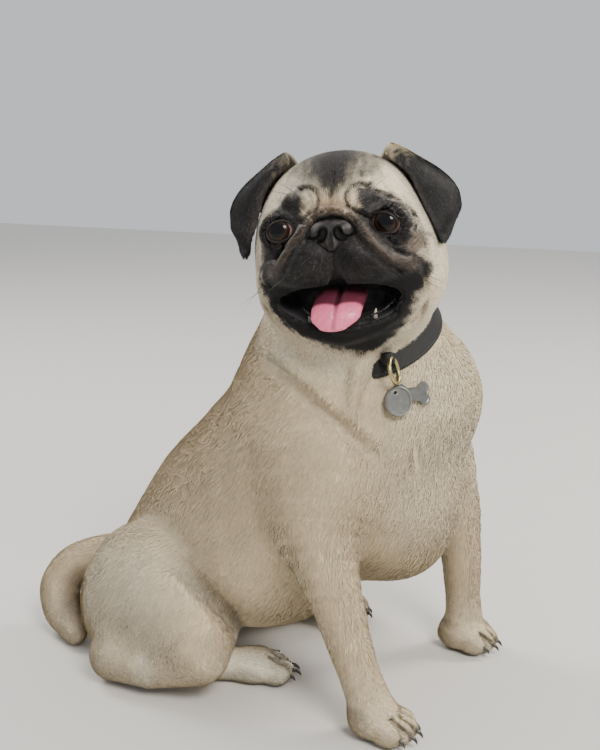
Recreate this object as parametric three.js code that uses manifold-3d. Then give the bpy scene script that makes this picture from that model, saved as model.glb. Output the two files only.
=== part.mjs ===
// A pug sitting with its head turned to its right and its mouth open, as a still, life-size model.
// Millimetres, +Z up. The chest faces -Y and the dog's left side is +X.
// The flesh is one smooth field, the distance to the coat's surface. Each node is meshed from it at a size
// that suits the node, and thin cuts part the nodes. Places are given from the floor point midway between
// the front paws, or in the head's own frame, and the whole is then moved to the middle of its box.
import * as THREE from "three";
import { mergeVertices } from "three/addons/utils/BufferGeometryUtils.js";
import Module from "manifold-3d";

const wasm = await Module();
wasm.setup();

// Driving dimensions
const GAP = 0.3; // between touching nodes
const BLOCK = 700; // a cutting block's side, larger than the dog
const CENTRE = [0, 149, 0]; // the middle of the dog's box on the floor
const FORE_PAW = [77, 8]; // the left front paw's middle; the right one is mirrored
const HIND_TOES_RIGHT = [-42, 116];
const HIND_TOES_LEFT = [84, 116];
const EYE = { x: 32.5, y: 7, z: -1, radius: 10.7 };
const COLLAR = { low: 234, tilt: 26, width: 14, thick: 3.6, sunk: 1, sunkUnderFold: 6.5 };
const COLLAR_LOW_SIDE = THREE.MathUtils.degToRad(-85); // measured round the neck from the chest's front
const FOLD = { middle: THREE.MathUtils.degToRad(-122), full: 0.616, none: 0.407 }; // cosines of its half widths
const TAG_SIDE = THREE.MathUtils.degToRad(-44);
const RING = { radius: 8, wire: 1.3, turn: THREE.MathUtils.degToRad(48) };
const TAG = { radius: 9.3, thick: 1.4, rim: 1.3 };

const FUR = "#c9ab7c";
const EAR_BLACK = "#1d1a1a";
const NOSE_BLACK = "#26211f";
const TONGUE_PINK = "#d98a9c";
const EYE_BROWN = "#2a1a12";
const STRAP_BLACK = "#161616";
const RING_BRASS = "#a59a5a";
const TAG_STEEL = "#a9a9ad";

// The head's frame lies midway between the eyes, x to the dog's left, y backwards, z up.
const HEAD = { origin: [-79, 42, 327], yaw: -72, pitch: -5, roll: -5.5 };
const headMatrix = placed(HEAD.origin, HEAD.pitch, HEAD.roll, HEAD.yaw);

function placed(origin, pitch, roll, yaw) {
  const [x, y, z] = [pitch, roll, yaw].map(THREE.MathUtils.degToRad);
  return new THREE.Matrix4().makeRotationFromEuler(new THREE.Euler(x, y, z, "ZXY")).setPosition(...origin);
}

// Field arithmetic
const sq = (x) => x * x;
const mix = (a, b, t) => a + (b - a) * t;
const clamp = (x, lo, hi) => Math.min(hi, Math.max(lo, x));

function blend(a, b, k) {
  const h = Math.max(k - Math.abs(a - b), 0) / k;
  return Math.min(a, b) - (h * h * k) / 4;
}

const carve = (a, b, k) => -blend(-a, b, k);

function joined(fields, k) {
  return (x, y, z) => {
    let total = fields[0](x, y, z);
    for (let i = 1; i < fields.length; i++) total = blend(total, fields[i](x, y, z), k);
    return total;
  };
}

// A field given in another frame, as one of a point outside it.
function inFrame(matrix, field) {
  const e = matrix.clone().invert().elements;
  return (x, y, z) =>
    field(
      e[0] * x + e[4] * y + e[8] * z + e[12],
      e[1] * x + e[5] * y + e[9] * z + e[13],
      e[2] * x + e[6] * y + e[10] * z + e[14],
    );
}

// An ellipsoid, tipped about x and then turned about z, in degrees.
function egg(centre, [rx, ry, rz], tip = 0, turn = 0) {
  return inFrame(placed(centre, tip, 0, turn), (x, y, z) => {
    const outer = Math.sqrt(sq(x / rx) + sq(y / ry) + sq(z / rz));
    const inner = Math.sqrt(sq(x / rx / rx) + sq(y / ry / ry) + sq(z / rz / rz));
    return inner < 1e-9 ? -Math.min(rx, ry, rz) : (outer * (outer - 1)) / inner;
  });
}

// A limb through stations of [x, y, z, radius], made wider or narrower sideways by wide.
function limb(stations, wide = 1) {
  const links = stations.slice(1).map((b, i) => {
    const a = stations[i];
    const along = [(b[0] - a[0]) / wide, b[1] - a[1], b[2] - a[2]];
    return { a, along, rise: b[3] - a[3], length2: sq(along[0]) + sq(along[1]) + sq(along[2]) };
  });
  return (x, y, z) => {
    let least = Infinity;
    for (const { a, along, rise, length2 } of links) {
      const px = (x - a[0]) / wide;
      const py = y - a[1];
      const pz = z - a[2];
      const t = clamp((px * along[0] + py * along[1] + pz * along[2]) / length2, 0, 1);
      const dx = px - along[0] * t;
      const dy = py - along[1] * t;
      const dz = pz - along[2] * t;
      least = Math.min(least, Math.sqrt(dx * dx + dy * dy + dz * dz) - a[3] - rise * t);
    }
    return least;
  };
}

// A limb's stations, closer together on a smooth curve.
function eased(stations, steps) {
  const points = stations.map(([x, y, z]) => new THREE.Vector3(x, y, z));
  const curve = new THREE.CatmullRomCurve3(points, false, "centripetal");
  return Array.from({ length: steps + 1 }, (_, i) => {
    const place = (i / steps) * (stations.length - 1);
    const from = Math.min(Math.floor(place), stations.length - 2);
    const p = curve.getPoint(i / steps);
    return [p.x, p.y, p.z, mix(stations[from][3], stations[from + 1][3], place - from)];
  });
}

// Trunk and neck
const spine = [[0, 194, 70, 57], [0, 152, 108, 70], [0, 108, 140, 79], [0, 76, 174, 82], [0, 68, 196, 77]];
const trunk = limb(eased(spine, 20), 1.1);
const neck = limb(eased([[0, 66, 206, 70], [-3, 66, 236, 60], [-8, 64, 262, 56], [-20, 60, 300, 50]], 12), 0.94);
const belly = egg([0, 122, 90], [84, 58, 58]);
const brisket = egg([0, 34, 128], [46, 44, 50]);
const chestLeft = egg([19, 25, 205], [42, 41, 42]);
const torsoField = joined([trunk, neck, belly, brisket, chestLeft], 24);

// A paw with four toes, its middle at [x, y]
function pawField([x, y], turn) {
  const toes = [-12.4, -4.4, 4.4, 12.4].map((side) => egg([side, Math.abs(side) > 9 ? -10 : -15, 9], [5.8, 10, 8.5]));
  const pad = egg([0, 3, 11], [16, 17, 12]);
  return inFrame(placed([x, y, 0], 0, 0, turn), joined([pad, ...toes], 3));
}

// Front legs, from the shoulder down
const foreRight = joined(
  [
    limb(eased([[-52, 62, 172, 40], [-69, 56, 126, 25], [-74, 40, 84, 17], [-76, 24, 42, 13.5], [-77, 13, 18, 14.5]], 16)),
    pawField([-FORE_PAW[0], FORE_PAW[1]], 0),
  ],
  10,
);
const foreLeft = joined(
  [
    limb(eased([[56, 46, 172, 42], [72, 24, 126, 24], [76, 13, 84, 16], [78, 10, 42, 13], [78, 8, 18, 14]], 16)),
    pawField(FORE_PAW, 4),
  ],
  10,
);

// A hind leg: buttock, thigh, knee, shin, and the foot that lies along the floor
function hindField(side, toes, turn) {
  const buttock = egg([50 * side, 212, 44], [42, 46, 50]);
  const thigh = egg([66 * side, 180, 60], [38, 60, 52], 28);
  const knee = limb([[72 * side, 164, 62, 34], [84 * side, 141, 44, 24]]);
  const shin = limb([[90 * side, 136, 30, 17], [96 * side, 172, 20, 15], [92 * side, 206, 20, 18]]);
  const heel = [88 * side, 208];
  const foot = limb([[...heel, 15, 15], [mix(heel[0], toes[0], 0.5), mix(heel[1], toes[1], 0.5), 13, 12], [...toes, 12, 12]]);
  const upper = joined([buttock, thigh, knee, shin], 12);
  return joined([upper, joined([foot, pawField(toes, turn)], 6)], 5);
}
const hindRight = hindField(-1, HIND_TOES_RIGHT, 34);
const hindLeft = hindField(1, HIND_TOES_LEFT, -6);

// Tail: out of the rump, round in one tight curl and down to a tip beside the right haunch
const tailStations = [
  [-2, 226, 60, 19], [-8, 250, 60, 17], [-16, 275, 57, 16], [-25, 294, 48, 16],
  [-33, 301, 33, 16], [-41, 293, 19, 15.5], [-50, 279, 14, 13], [-58, 268, 10, 9],
];
const tailCurve = eased(tailStations, 30);
const tailField = limb(tailCurve);
const tailRoot = limb(tailCurve.slice(0, 8));

// Head, in its own frame
const skull = egg([0, 48, 4], [52, 54, 44]);
const cheek = egg([32, 40, -24], [25, 34, 34]);
const jowl = egg([0, 30, -44], [51, 36, 37], 14);
const nape = egg([0, 82, -16], [46, 38, 42]);
const orbit = egg([EYE.x, EYE.y + 3, EYE.z], [15.5, 12.5, 14.5]);
const lidOpening = egg([EYE.x, EYE.y - 13, EYE.z], [9.6, 9, 8.4]);
const brow = egg([14.5, 3, 16.5], [9.5, 8, 9]);
const browGroove = limb([[0, -9, 13, 1.6], [0, -4, 30, 2.4]]);
const muzzlePad = egg([15, 0, -18], [18, 17, 15.5]);
const lipCorner = limb([[26, -5, -26, 8], [42, 10, -27, 7]]);
const noseFold = limb(eased([[0, -4, 10, 6], [14, -5, 6, 6], [25, -4, -8, 6], [36, 2, -20, 6], [46, 12, -27, 5]], 12));
const foldGroove = limb(eased([[0, -13, 3.5, 1.8], [14, -12, -1, 2.2], [22, -10, -13, 2.4], [34, -5, -26, 2]], 8));
const lowerLip = limb(eased([[0, 2, -64, 8], [22, 5, -58, 7.5], [38, 12, -45, 7], [46, 20, -33, 6]], 9));
const mouth = egg([0, 18, -42.5], [39, 36, 13], 16);

function headField(x, y, z) {
  const ax = Math.abs(x);
  let total = blend(skull(x, y, z), cheek(ax, y, z), 20);
  total = blend(total, jowl(x, y, z), 16);
  total = blend(total, nape(x, y, z), 22);
  total = blend(total, orbit(ax, y, z), 6);
  total = blend(total, brow(ax, y, z), 3);
  total = blend(total, muzzlePad(ax, y, z), 6);
  total = blend(total, lipCorner(ax, y, z), 5);
  total = blend(total, lowerLip(ax, y, z), 5);
  total = blend(total, noseFold(ax, y, z), 3.5);
  total = carve(total, foldGroove(ax, y, z), 2);
  total = carve(total, browGroove(x, y, z), 3);
  total = carve(total, lidOpening(ax, y, z), 1.5);
  return carve(total, mouth(x, y, z), 4);
}
const headInRow = inFrame(headMatrix, headField);
const nosePad = joined([egg([0, -9.5, -4.5], [12, 7, 8.8]), egg([0, -10.5, -1], [8, 6.8, 5])], 3);

// The whole coat's surface, without the tail past its root
function coat(x, y, z) {
  let total = torsoField(x, y, z);
  total = blend(total, foreRight(x, y, z), 16);
  total = blend(total, foreLeft(x, y, z), 16);
  total = blend(total, hindRight(x, y, z), 8);
  total = blend(total, hindLeft(x, y, z), 8);
  total = blend(total, tailRoot(x, y, z), 8);
  return blend(total, headInRow(x, y, z), 16);
}
const coatInHead = inFrame(headMatrix.clone().invert(), coat);

// Grid lines from lo to hi, closer together between fineLo and fineHi
function lines(lo, hi, coarse, fine = coarse, fineLo = hi, fineHi = hi) {
  const stretch = (a, b, step) => {
    const count = Math.round((b - a) / step);
    return Array.from({ length: count }, (_, i) => a + ((b - a) * i) / count);
  };
  return [...stretch(lo, fineLo, coarse), ...stretch(fineLo, fineHi, fine), ...stretch(fineHi, hi, coarse), hi];
}

// Mends the signs on a grid until no face or cell is crossed in two ways, so that the surface is closed and simple.
function mendSigns(value, [nx, ny, nz]) {
  const step = [1, nx, nx * ny];
  const size = [nx, ny, nz];
  const fill = (index) => (value[index] = -0.05);
  const mendFaces = (u, v, w) => {
    let mended = false;
    for (let c = 0; c < size[w]; c++)
      for (let b = 0; b < size[v] - 1; b++)
        for (let a = 0; a < size[u] - 1; a++) {
          const p = a * step[u] + b * step[v] + c * step[w];
          const q = [p, p + step[u], p + step[v], p + step[u] + step[v]];
          const inside = q.map((index) => value[index] < 0);
          if (inside[0] !== inside[3] || inside[1] !== inside[2] || inside[0] === inside[1]) continue;
          fill(inside[0] ? q[1] : q[0]);
          mended = true;
        }
    return mended;
  };
  const mendCells = () => {
    let mended = false;
    for (let k = 0; k < nz - 1; k++)
      for (let j = 0; j < ny - 1; j++)
        for (let i = 0; i < nx - 1; i++) {
          const p = i + j * step[1] + k * step[2];
          const corners = Array.from({ length: 8 }, (_, n) => p + (n & 1) + ((n >> 1) & 1) * step[1] + (n >> 2) * step[2]);
          const inside = corners.filter((index) => value[index] < 0);
          if (inside.length !== 2 && inside.length !== 6) continue;
          const pair = inside.length === 2 ? inside : corners.filter((index) => value[index] >= 0);
          if (corners.indexOf(pair[0]) + corners.indexOf(pair[1]) !== 7) continue;
          fill(inside.length === 2 ? corners[corners.indexOf(pair[0]) ^ 1] : pair[0]);
          mended = true;
        }
    return mended;
  };
  for (let round = 0; round < 30; round++) {
    const mends = [mendFaces(0, 1, 2), mendFaces(1, 2, 0), mendFaces(0, 2, 1), mendCells()];
    if (!mends.includes(true)) return;
  }
}

// The mean of the places where the surface crosses a cell's edges, or nothing where it doesn't cross them.
function cellPoint(value, at, grids, cell) {
  const total = [0, 0, 0];
  let crossings = 0;
  for (let axis = 0; axis < 3; axis++)
    for (let n = 0; n < 4; n++) {
      const lo = [...cell];
      lo[(axis + 1) % 3] += n & 1;
      lo[(axis + 2) % 3] += n >> 1;
      const hi = [...lo];
      hi[axis] += 1;
      const a = value[at(...lo)];
      const b = value[at(...hi)];
      if (a < 0 === b < 0) continue;
      for (let e = 0; e < 3; e++) total[e] += mix(grids[e][lo[e]], grids[e][hi[e]], a / (a - b));
      crossings++;
    }
  return crossings ? total.map((sum) => sum / crossings) : null;
}

// A few steps down the field's slope, kept within the point's own cell
function ontoSurface(field, point, grids, cell) {
  const h = 0.2;
  const p = [...point];
  for (let step = 0; step < 3; step++) {
    const f = field(...p);
    const slope = p.map((_, e) => (field(...p.map((c, n) => (n === e ? c + h : c))) - f) / h);
    const steep = Math.max(slope.reduce((sum, g) => sum + g * g, 0), 0.2);
    for (let e = 0; e < 3; e++) {
      const [lo, hi] = [grids[e][cell[e]], grids[e][cell[e] + 1]];
      const margin = 0.04 * (hi - lo);
      p[e] = clamp(p[e] - (f * slope[e]) / steep, lo + margin, hi - margin);
    }
  }
  return p;
}

// A closed solid of where field is below zero, with one point in each grid cell that its surface crosses
function meshOf(field, grids, matrix = new THREE.Matrix4()) {
  const size = grids.map((grid) => grid.length);
  const value = new Float32Array(size[0] * size[1] * size[2]);
  const at = (i, j, k) => i + size[0] * (j + size[1] * k);
  const eachCell = (from, to, visit) => {
    for (let k = from; k < size[2] + to; k++)
      for (let j = from; j < size[1] + to; j++)
        for (let i = from; i < size[0] + to; i++) visit(i, j, k);
  };
  eachCell(0, 0, (i, j, k) => {
    const border = [i, j, k].some((n, e) => n === 0 || n === size[e] - 1);
    const f = field(grids[0][i], grids[1][j], grids[2][k]);
    value[at(i, j, k)] = border ? Math.max(f, 0.1) : f;
  });
  mendSigns(value, size);
  const vertexOf = new Map();
  const points = [];
  eachCell(0, -1, (i, j, k) => {
    const point = cellPoint(value, at, grids, [i, j, k]);
    if (!point) return;
    vertexOf.set(at(i, j, k), points.length / 3);
    points.push(...ontoSurface(field, point, grids, [i, j, k]));
  });
  const faces = [];
  const span = (a, b) => [0, 1, 2].reduce((sum, e) => sum + sq(points[3 * a + e] - points[3 * b + e]), 0);
  const quad = (cells, turned) => {
    const q = cells.map((cell) => vertexOf.get(cell));
    const halves = span(q[0], q[2]) < span(q[1], q[3]) ? [0, 1, 2, 0, 2, 3] : [0, 1, 3, 1, 2, 3];
    const corners = halves.map((n) => q[n]);
    faces.push(...(turned ? corners.reverse() : corners));
  };
  eachCell(0, -1, (i, j, k) => {
    const here = value[at(i, j, k)] < 0;
    if (j && k && here !== value[at(i + 1, j, k)] < 0)
      quad([at(i, j - 1, k - 1), at(i, j, k - 1), at(i, j, k), at(i, j - 1, k)], !here);
    if (i && k && here !== value[at(i, j + 1, k)] < 0)
      quad([at(i - 1, j, k - 1), at(i - 1, j, k), at(i, j, k), at(i, j, k - 1)], !here);
    if (i && j && here !== value[at(i, j, k + 1)] < 0)
      quad([at(i - 1, j - 1, k), at(i, j - 1, k), at(i, j, k), at(i - 1, j, k)], !here);
  });
  return solidOf(points, faces, matrix);
}

// Solids
function solidOf(points, faces, matrix = new THREE.Matrix4()) {
  const place = new THREE.Matrix4().makeTranslation(...CENTRE.map((c) => -c)).multiply(matrix);
  const moved = new Float32Array(points.length);
  const p = new THREE.Vector3();
  for (let n = 0; n < points.length; n += 3) {
    p.set(points[n], points[n + 1], points[n + 2]).applyMatrix4(place);
    moved.set([p.x, p.y, p.z], n);
  }
  return new wasm.Manifold(new wasm.Mesh({ numProp: 3, vertProperties: moved, triVerts: new Uint32Array(faces) }));
}

function solidOfGeometry(geometry, matrix) {
  const bare = geometry.clone();
  bare.deleteAttribute("normal");
  bare.deleteAttribute("uv");
  const merged = mergeVertices(bare, 1e-3);
  return solidOf(merged.attributes.position.array, merged.index.array, matrix);
}

// The half of space past a plane through point, on the side that normal points to
function past(point, normal, matrix = new THREE.Matrix4()) {
  const up = new THREE.Vector3(...normal).normalize();
  const turn = new THREE.Quaternion().setFromUnitVectors(new THREE.Vector3(0, 0, 1), up);
  const centre = up.clone().multiplyScalar(BLOCK / 2 + GAP / 2).add(new THREE.Vector3(...point));
  const place = new THREE.Matrix4().compose(centre, turn, new THREE.Vector3(1, 1, 1));
  return solidOfGeometry(new THREE.BoxGeometry(BLOCK, BLOCK, BLOCK), matrix.clone().multiply(place));
}
const before = (point, normal, matrix) => past(point, normal.map((n) => -n), matrix);

// A box between two corners, turned about its middle, and grown or shrunk by half the gap
function box(lo, hi, grow, tip = 0, turn = 0) {
  const size = lo.map((c, e) => hi[e] - c + GAP * grow);
  const middle = lo.map((c, e) => (c + hi[e]) / 2);
  return solidOfGeometry(new THREE.BoxGeometry(...size), placed(middle, tip, 0, turn));
}

// A copy of a solid with each corner moved out along its normal
function grown(solid, by) {
  const mesh = solid.getMesh();
  const normals = Array.from({ length: mesh.numVert }, () => new THREE.Vector3());
  const corner = (v) => new THREE.Vector3().fromArray(mesh.vertProperties, v * mesh.numProp);
  for (let n = 0; n < mesh.triVerts.length; n += 3) {
    const tri = [0, 1, 2].map((e) => mesh.triVerts[n + e]);
    const [a, b, c] = tri.map(corner);
    const normal = b.clone().sub(a).cross(c.clone().sub(a)).normalize();
    tri.forEach((v, e) => {
      const [here, next, last] = [corner(v), corner(tri[(e + 1) % 3]), corner(tri[(e + 2) % 3])];
      normals[v].addScaledVector(normal, next.sub(here).angleTo(last.sub(here)));
    });
  }
  const centre = new THREE.Vector3(...CENTRE);
  const points = normals.flatMap((normal, v) => corner(v).add(centre).addScaledVector(normal.normalize(), by).toArray());
  return solidOf(points, mesh.triVerts);
}

// A closed sheet about the surface place(s, t), with faces alike on both sides
function sheet(place, [ns, nt], thickness, matrix) {
  const d = 1e-3;
  const points = [[], []];
  for (let i = 0; i <= ns; i++)
    for (let j = 0; j <= nt; j++) {
      const [s, t] = [i / ns, j / nt];
      const p = place(s, t);
      const alongS = place(Math.min(s + d, 1), t).sub(place(Math.max(s - d, 0), t));
      const alongT = place(s, Math.min(t + d, 1)).sub(place(s, Math.max(t - d, 0)));
      const half = alongS.cross(alongT).normalize().multiplyScalar(thickness(s, t) / 2);
      points[0].push(...p.clone().add(half).toArray());
      points[1].push(...p.clone().sub(half).toArray());
    }
  const at = (side, i, j) => (side * (ns + 1) + i) * (nt + 1) + j;
  const faces = [];
  const quad = (a, b, c, e) => faces.push(a, b, c, a, c, e);
  for (let i = 0; i < ns; i++)
    for (let j = 0; j < nt; j++) {
      quad(at(0, i, j), at(0, i + 1, j), at(0, i + 1, j + 1), at(0, i, j + 1));
      faces.push(at(1, i, j), at(1, i + 1, j + 1), at(1, i + 1, j), at(1, i, j), at(1, i, j + 1), at(1, i + 1, j + 1));
    }
  for (let i = 0; i < ns; i++) {
    quad(at(0, i, 0), at(1, i, 0), at(1, i + 1, 0), at(0, i + 1, 0));
    quad(at(0, i + 1, nt), at(1, i + 1, nt), at(1, i, nt), at(0, i, nt));
  }
  for (let j = 0; j < nt; j++) {
    quad(at(0, 0, j + 1), at(1, 0, j + 1), at(1, 0, j), at(0, 0, j));
    quad(at(0, ns, j), at(1, ns, j), at(1, ns, j + 1), at(0, ns, j + 1));
  }
  return solidOf(points.flat(), faces, matrix);
}

// A closed tube round a loop of sections, each a list of corner points
function loopSolid(sections) {
  const [count, sides] = [sections.length, sections[0].length];
  const faces = [];
  for (let i = 0; i < count; i++)
    for (let j = 0; j < sides; j++) {
      const [a, b] = [i * sides + j, i * sides + ((j + 1) % sides)];
      const [c, e] = [((i + 1) % count) * sides + j, ((i + 1) % count) * sides + ((j + 1) % sides)];
      faces.push(a, e, b, a, c, e);
    }
  return solidOf(sections.flat(2), faces);
}

const pug = new THREE.Group();

function addNode(name, solid, colour, roughness = 0.9, metalness = 0) {
  const kept = solid.decompose().sort((a, b) => b.volume() - a.volume())[0];
  const mesh = kept.getMesh();
  const points = new Float32Array(mesh.numVert * 3);
  for (let v = 0; v < mesh.numVert; v++)
    points.set(mesh.vertProperties.subarray(v * mesh.numProp, v * mesh.numProp + 3), v * 3);
  const geometry = new THREE.BufferGeometry();
  geometry.setAttribute("position", new THREE.BufferAttribute(points, 3));
  geometry.setIndex(new THREE.BufferAttribute(mesh.triVerts, 1));
  const made = new THREE.Mesh(geometry, new THREE.MeshStandardMaterial({ color: colour, roughness, metalness }));
  made.name = name;
  pug.add(made);
}

// Collar: a strap that follows the neck, higher at the back of the head, and under a fold of skin below the cheek
const underHead = joined([torsoField, inFrame(headMatrix, nape)], 16);
const collarHeight = (angle) => COLLAR.low + COLLAR.tilt * (1 - Math.cos(angle - COLLAR_LOW_SIDE));
const foldedOver = (angle) => THREE.MathUtils.smoothstep(Math.cos(angle - FOLD.middle), FOLD.none, FOLD.full);
const neckAxis = (z) => [mix(0, -8, (z - 206) / 56), 65];
function neckRadius(angle, z) {
  const [x, y] = neckAxis(z);
  let [inside, outside] = [20, 110];
  while (outside - inside > 0.01) {
    const radius = (inside + outside) / 2;
    const f = underHead(x + radius * Math.sin(angle), y - radius * Math.cos(angle), z);
    [inside, outside] = f < 0 ? [radius, outside] : [inside, radius];
  }
  return inside;
}
function onNeck(angle, z, out) {
  const [x, y] = neckAxis(z);
  const radius = neckRadius(angle, z) + out;
  return [x + radius * Math.sin(angle), y - radius * Math.cos(angle), z];
}
function collarSolid(grow) {
  const steps = 44;
  const half = COLLAR.width / 2 + grow;
  return loopSolid(
    Array.from({ length: steps }, (_, i) => {
      const angle = (i / steps) * Math.PI * 2;
      const z = collarHeight(angle);
      const sunk = mix(COLLAR.sunk, COLLAR.sunkUnderFold, foldedOver(angle));
      const [inner, outer] = [-sunk - grow, COLLAR.thick - sunk + grow];
      return [[z - half, inner], [z - half, outer], [z + half, outer], [z + half, inner]].map(([h, out]) => onNeck(angle, h, out));
    }),
  );
}
const collarStrap = collarSolid(0);
const collarRoom = collarSolid(GAP);

// A frame on the chest, x to the dog's left, y up the coat and z out of it
function onChest(angle, z, out) {
  const at = (a, h) => new THREE.Vector3(...onNeck(a, h, 0));
  const left = at(angle + 0.1, z).sub(at(angle - 0.1, z)).normalize();
  const outward = left.clone().cross(at(angle, z + 6).sub(at(angle, z - 6))).normalize();
  const frame = new THREE.Matrix4().makeBasis(left, outward.clone().cross(left), outward);
  return frame.setPosition(at(angle, z).addScaledVector(outward, out));
}

// The ring hangs in a keeper on the strap, and both tags hang on the ring.
const ringFrame = onChest(TAG_SIDE, 234, 7).multiply(new THREE.Matrix4().makeRotationY(RING.turn));
const ringSolid = (grow) => solidOfGeometry(new THREE.TorusGeometry(RING.radius, RING.wire + grow, 6, 18), ringFrame);
const ringRoom = ringSolid(GAP);
const disc = (radius, thick, frame, x, y, z, sides = 20) =>
  solidOfGeometry(
    new THREE.CylinderGeometry(radius, radius, thick, sides).rotateX(Math.PI / 2).translate(x, y, z),
    frame,
  );
const keeper = (grow) =>
  solidOfGeometry(new THREE.BoxGeometry(7 + grow, 6 + grow, 8 + grow).translate(0, RING.radius, -1.5), ringFrame);
const collar = collarStrap.add(keeper(0)).subtract(ringRoom);
const roundFrame = onChest(TAG_SIDE, 217, 4);
const roundTag = disc(TAG.radius, TAG.thick, roundFrame, 0, 0, 0)
  .subtract(disc(TAG.radius - TAG.rim, TAG.thick, roundFrame, 0, 0, TAG.thick - 0.5))
  .subtract(ringRoom);
const boneFrame = onChest(TAG_SIDE + 0.16, 220, 1.6);
const boneEnds = [-8.5, 8.5].flatMap((x) => [-3.6, 3.6].map((y) => disc(3.9, 1.2, boneFrame, x, y, 0, 10)));
const boneBar = solidOfGeometry(new THREE.BoxGeometry(18, 9.5, 1.2), boneFrame);
const boneTag = boneEnds.reduce((whole, end) => whole.add(end), boneBar).subtract(ringRoom);

// Places of the cuts
const headCut = [[0, 12, -90], [0, 0.714, -0.7]];
const neckCut = [[0, 64, 214], [0, -0.1, 1]];
const jawCut = [[0, 44, -30], [0, 0.16, 1]];
const floor = past([0, 0, -GAP / 2], [0, 0, 1]);

const inHead = before(...headCut, headMatrix);
const offHead = past(...headCut, headMatrix);

// Head, lower jaw, nose and eyes
const headGrids = [lines(-68, 68, 8, 5, -44, 44), lines(-32, 128, 10, 5, -24, 16), lines(-98, 62, 9, 5, -70, 26)];
const eyeball = (side, grow) =>
  solidOfGeometry(
    new THREE.SphereGeometry(EYE.radius + grow, 14, 9),
    headMatrix.clone().multiply(new THREE.Matrix4().makeTranslation(EYE.x * side, EYE.y, EYE.z)),
  );
const nostril = (side) =>
  meshOf(
    limb([[5.5 * side, -19, -4.5, 2.3], [6.5 * side, -11, -4, 1.8], [12.5 * side, -12, -7, 1]]),
    [lines(8 * side - 8, 8 * side + 8, 2.2), lines(-24, -6, 2.2), lines(-12, 2, 2.2)],
    headMatrix,
  );
const noseGrids = [lines(-16, 16, 3.6), lines(-20, 4, 3.6), lines(-18, 10, 3.6)];
const nose = meshOf(nosePad, noseGrids, headMatrix).subtract(nostril(-1)).subtract(nostril(1));
const noseRoom = meshOf((x, y, z) => nosePad(x, y, z) - GAP, noseGrids, headMatrix);

const tongueBody = limb(eased([[1, 34, -40, 5.5], [0.5, 16, -43, 5], [-1, 2, -49, 4.7], [-2.5, -7, -55, 4.4], [-3.5, -9, -60, 3.6]], 10), 3.4);
const tongueLine = limb([[0, 20, -35, 1.5], [-1, 1, -42, 1.5], [-4, -14, -56, 1.5]]);
const tongueField = (x, y, z) => carve(tongueBody(x, y, z), tongueLine(x, y, z), 1.5);
const tongueGrids = [lines(-22, 20, 4.6), lines(-16, 44, 5.4), lines(-70, -30, 4.6)];
const tongue = meshOf(tongueField, tongueGrids, headMatrix);

const wholeHead = meshOf(coatInHead, headGrids, headMatrix)
  .intersect(inHead)
  .subtract(noseRoom)
  .subtract(collarRoom)
  .subtract(keeper(2 * GAP))
  .subtract(ringRoom)
  .subtract(grown(tongue, GAP));
const tooth = (side) =>
  solidOfGeometry(
    new THREE.ConeGeometry(2, 9, 8).rotateX(Math.PI / 2),
    headMatrix.clone().multiply(new THREE.Matrix4().makeTranslation(20 * side, 6, -51)),
  );
const upperHead = wholeHead.intersect(past(...jawCut, headMatrix));
addNode("head", upperHead.subtract(eyeball(-1, GAP)).subtract(eyeball(1, GAP)), FUR);
addNode("lower_jaw", wholeHead.intersect(before(...jawCut, headMatrix)).add(tooth(-1)).add(tooth(1)), FUR);
addNode("nose", nose, NOSE_BLACK, 0.4);
addNode("tongue", tongue, TONGUE_PINK, 0.4);
addNode("eye_right", eyeball(-1, 0), EYE_BROWN, 0.1);
addNode("eye_left", eyeball(1, 0), EYE_BROWN, 0.1);

// Ears: a base that rises to the fold, and a flap that hangs forward from it to the tip
const curveOf = (points) => new THREE.CatmullRomCurve3(points.map((p) => new THREE.Vector3(...p)), false, "centripetal");
const flapInner = curveOf([[31, 38, 45], [44, 33, 30], [52.5, 29, 8], [57, 26, -9], [61, 24, -16]]);
const flapOuter = curveOf([[33, 41, 48], [46, 45, 39], [61, 49, 28], [71, 51, 17], [74, 49, 7], [71, 42, -3], [64, 27, -16]]);
const baseRoot = curveOf([[30, 46, 42], [38, 58, 32], [46, 62, 20]]);
function earSolid(side) {
  const flap = (s, t) => {
    const puff = 5 * Math.sin(Math.PI * s) * Math.sin(Math.PI * Math.min(1, t * 1.1));
    const p = flapInner.getPoint(t).lerp(flapOuter.getPoint(t), s);
    p.add(new THREE.Vector3(0.45, -0.8, 0.3).multiplyScalar(puff));
    return p.setX(p.x * side);
  };
  const base = (s, t) => {
    const p = baseRoot.getPoint(t).lerp(flapOuter.getPoint(t * 0.62), s);
    return p.setX(p.x * side);
  };
  const flapSheet = sheet(flap, [4, 8], (s, t) => 3.6 - 1.4 * t, headMatrix);
  const baseSheet = sheet(base, [3, 5], () => 3.4, headMatrix);
  return flapSheet.add(baseSheet);
}
const headRoom = grown(wholeHead, GAP);
addNode("ear_right", earSolid(-1).subtract(headRoom), EAR_BLACK);
addNode("ear_left", earSolid(1).subtract(headRoom), EAR_BLACK);

// Neck and torso
const coatGrids = (lo, hi, cell) => lo.map((c, e) => lines(c, hi[e], cell));
const foreBox = (side, grow) => box([side < 0 ? -160 : 48, -160, -60], [side < 0 ? -48 : 160, 62, 128], grow, -16);
const thighBox = (side, grow) => box([side < 0 ? -160 : 44, 60, -160], [side < 0 ? -44 : 160, 330, 88], grow, 25);
const tailPlane = [[0, 254, 0], [0, 1, 0]];
const tailBox = box([-44, 254, 20], [30, 400, 120], 1);
const footBoxes = {
  right: (grow) => box([-88, 92, -40], [-38, 222, 25], grow, 0, 25),
  left: (grow) => box([58, 80, -40], [106, 212, 25], grow, 0, -3),
};

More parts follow.
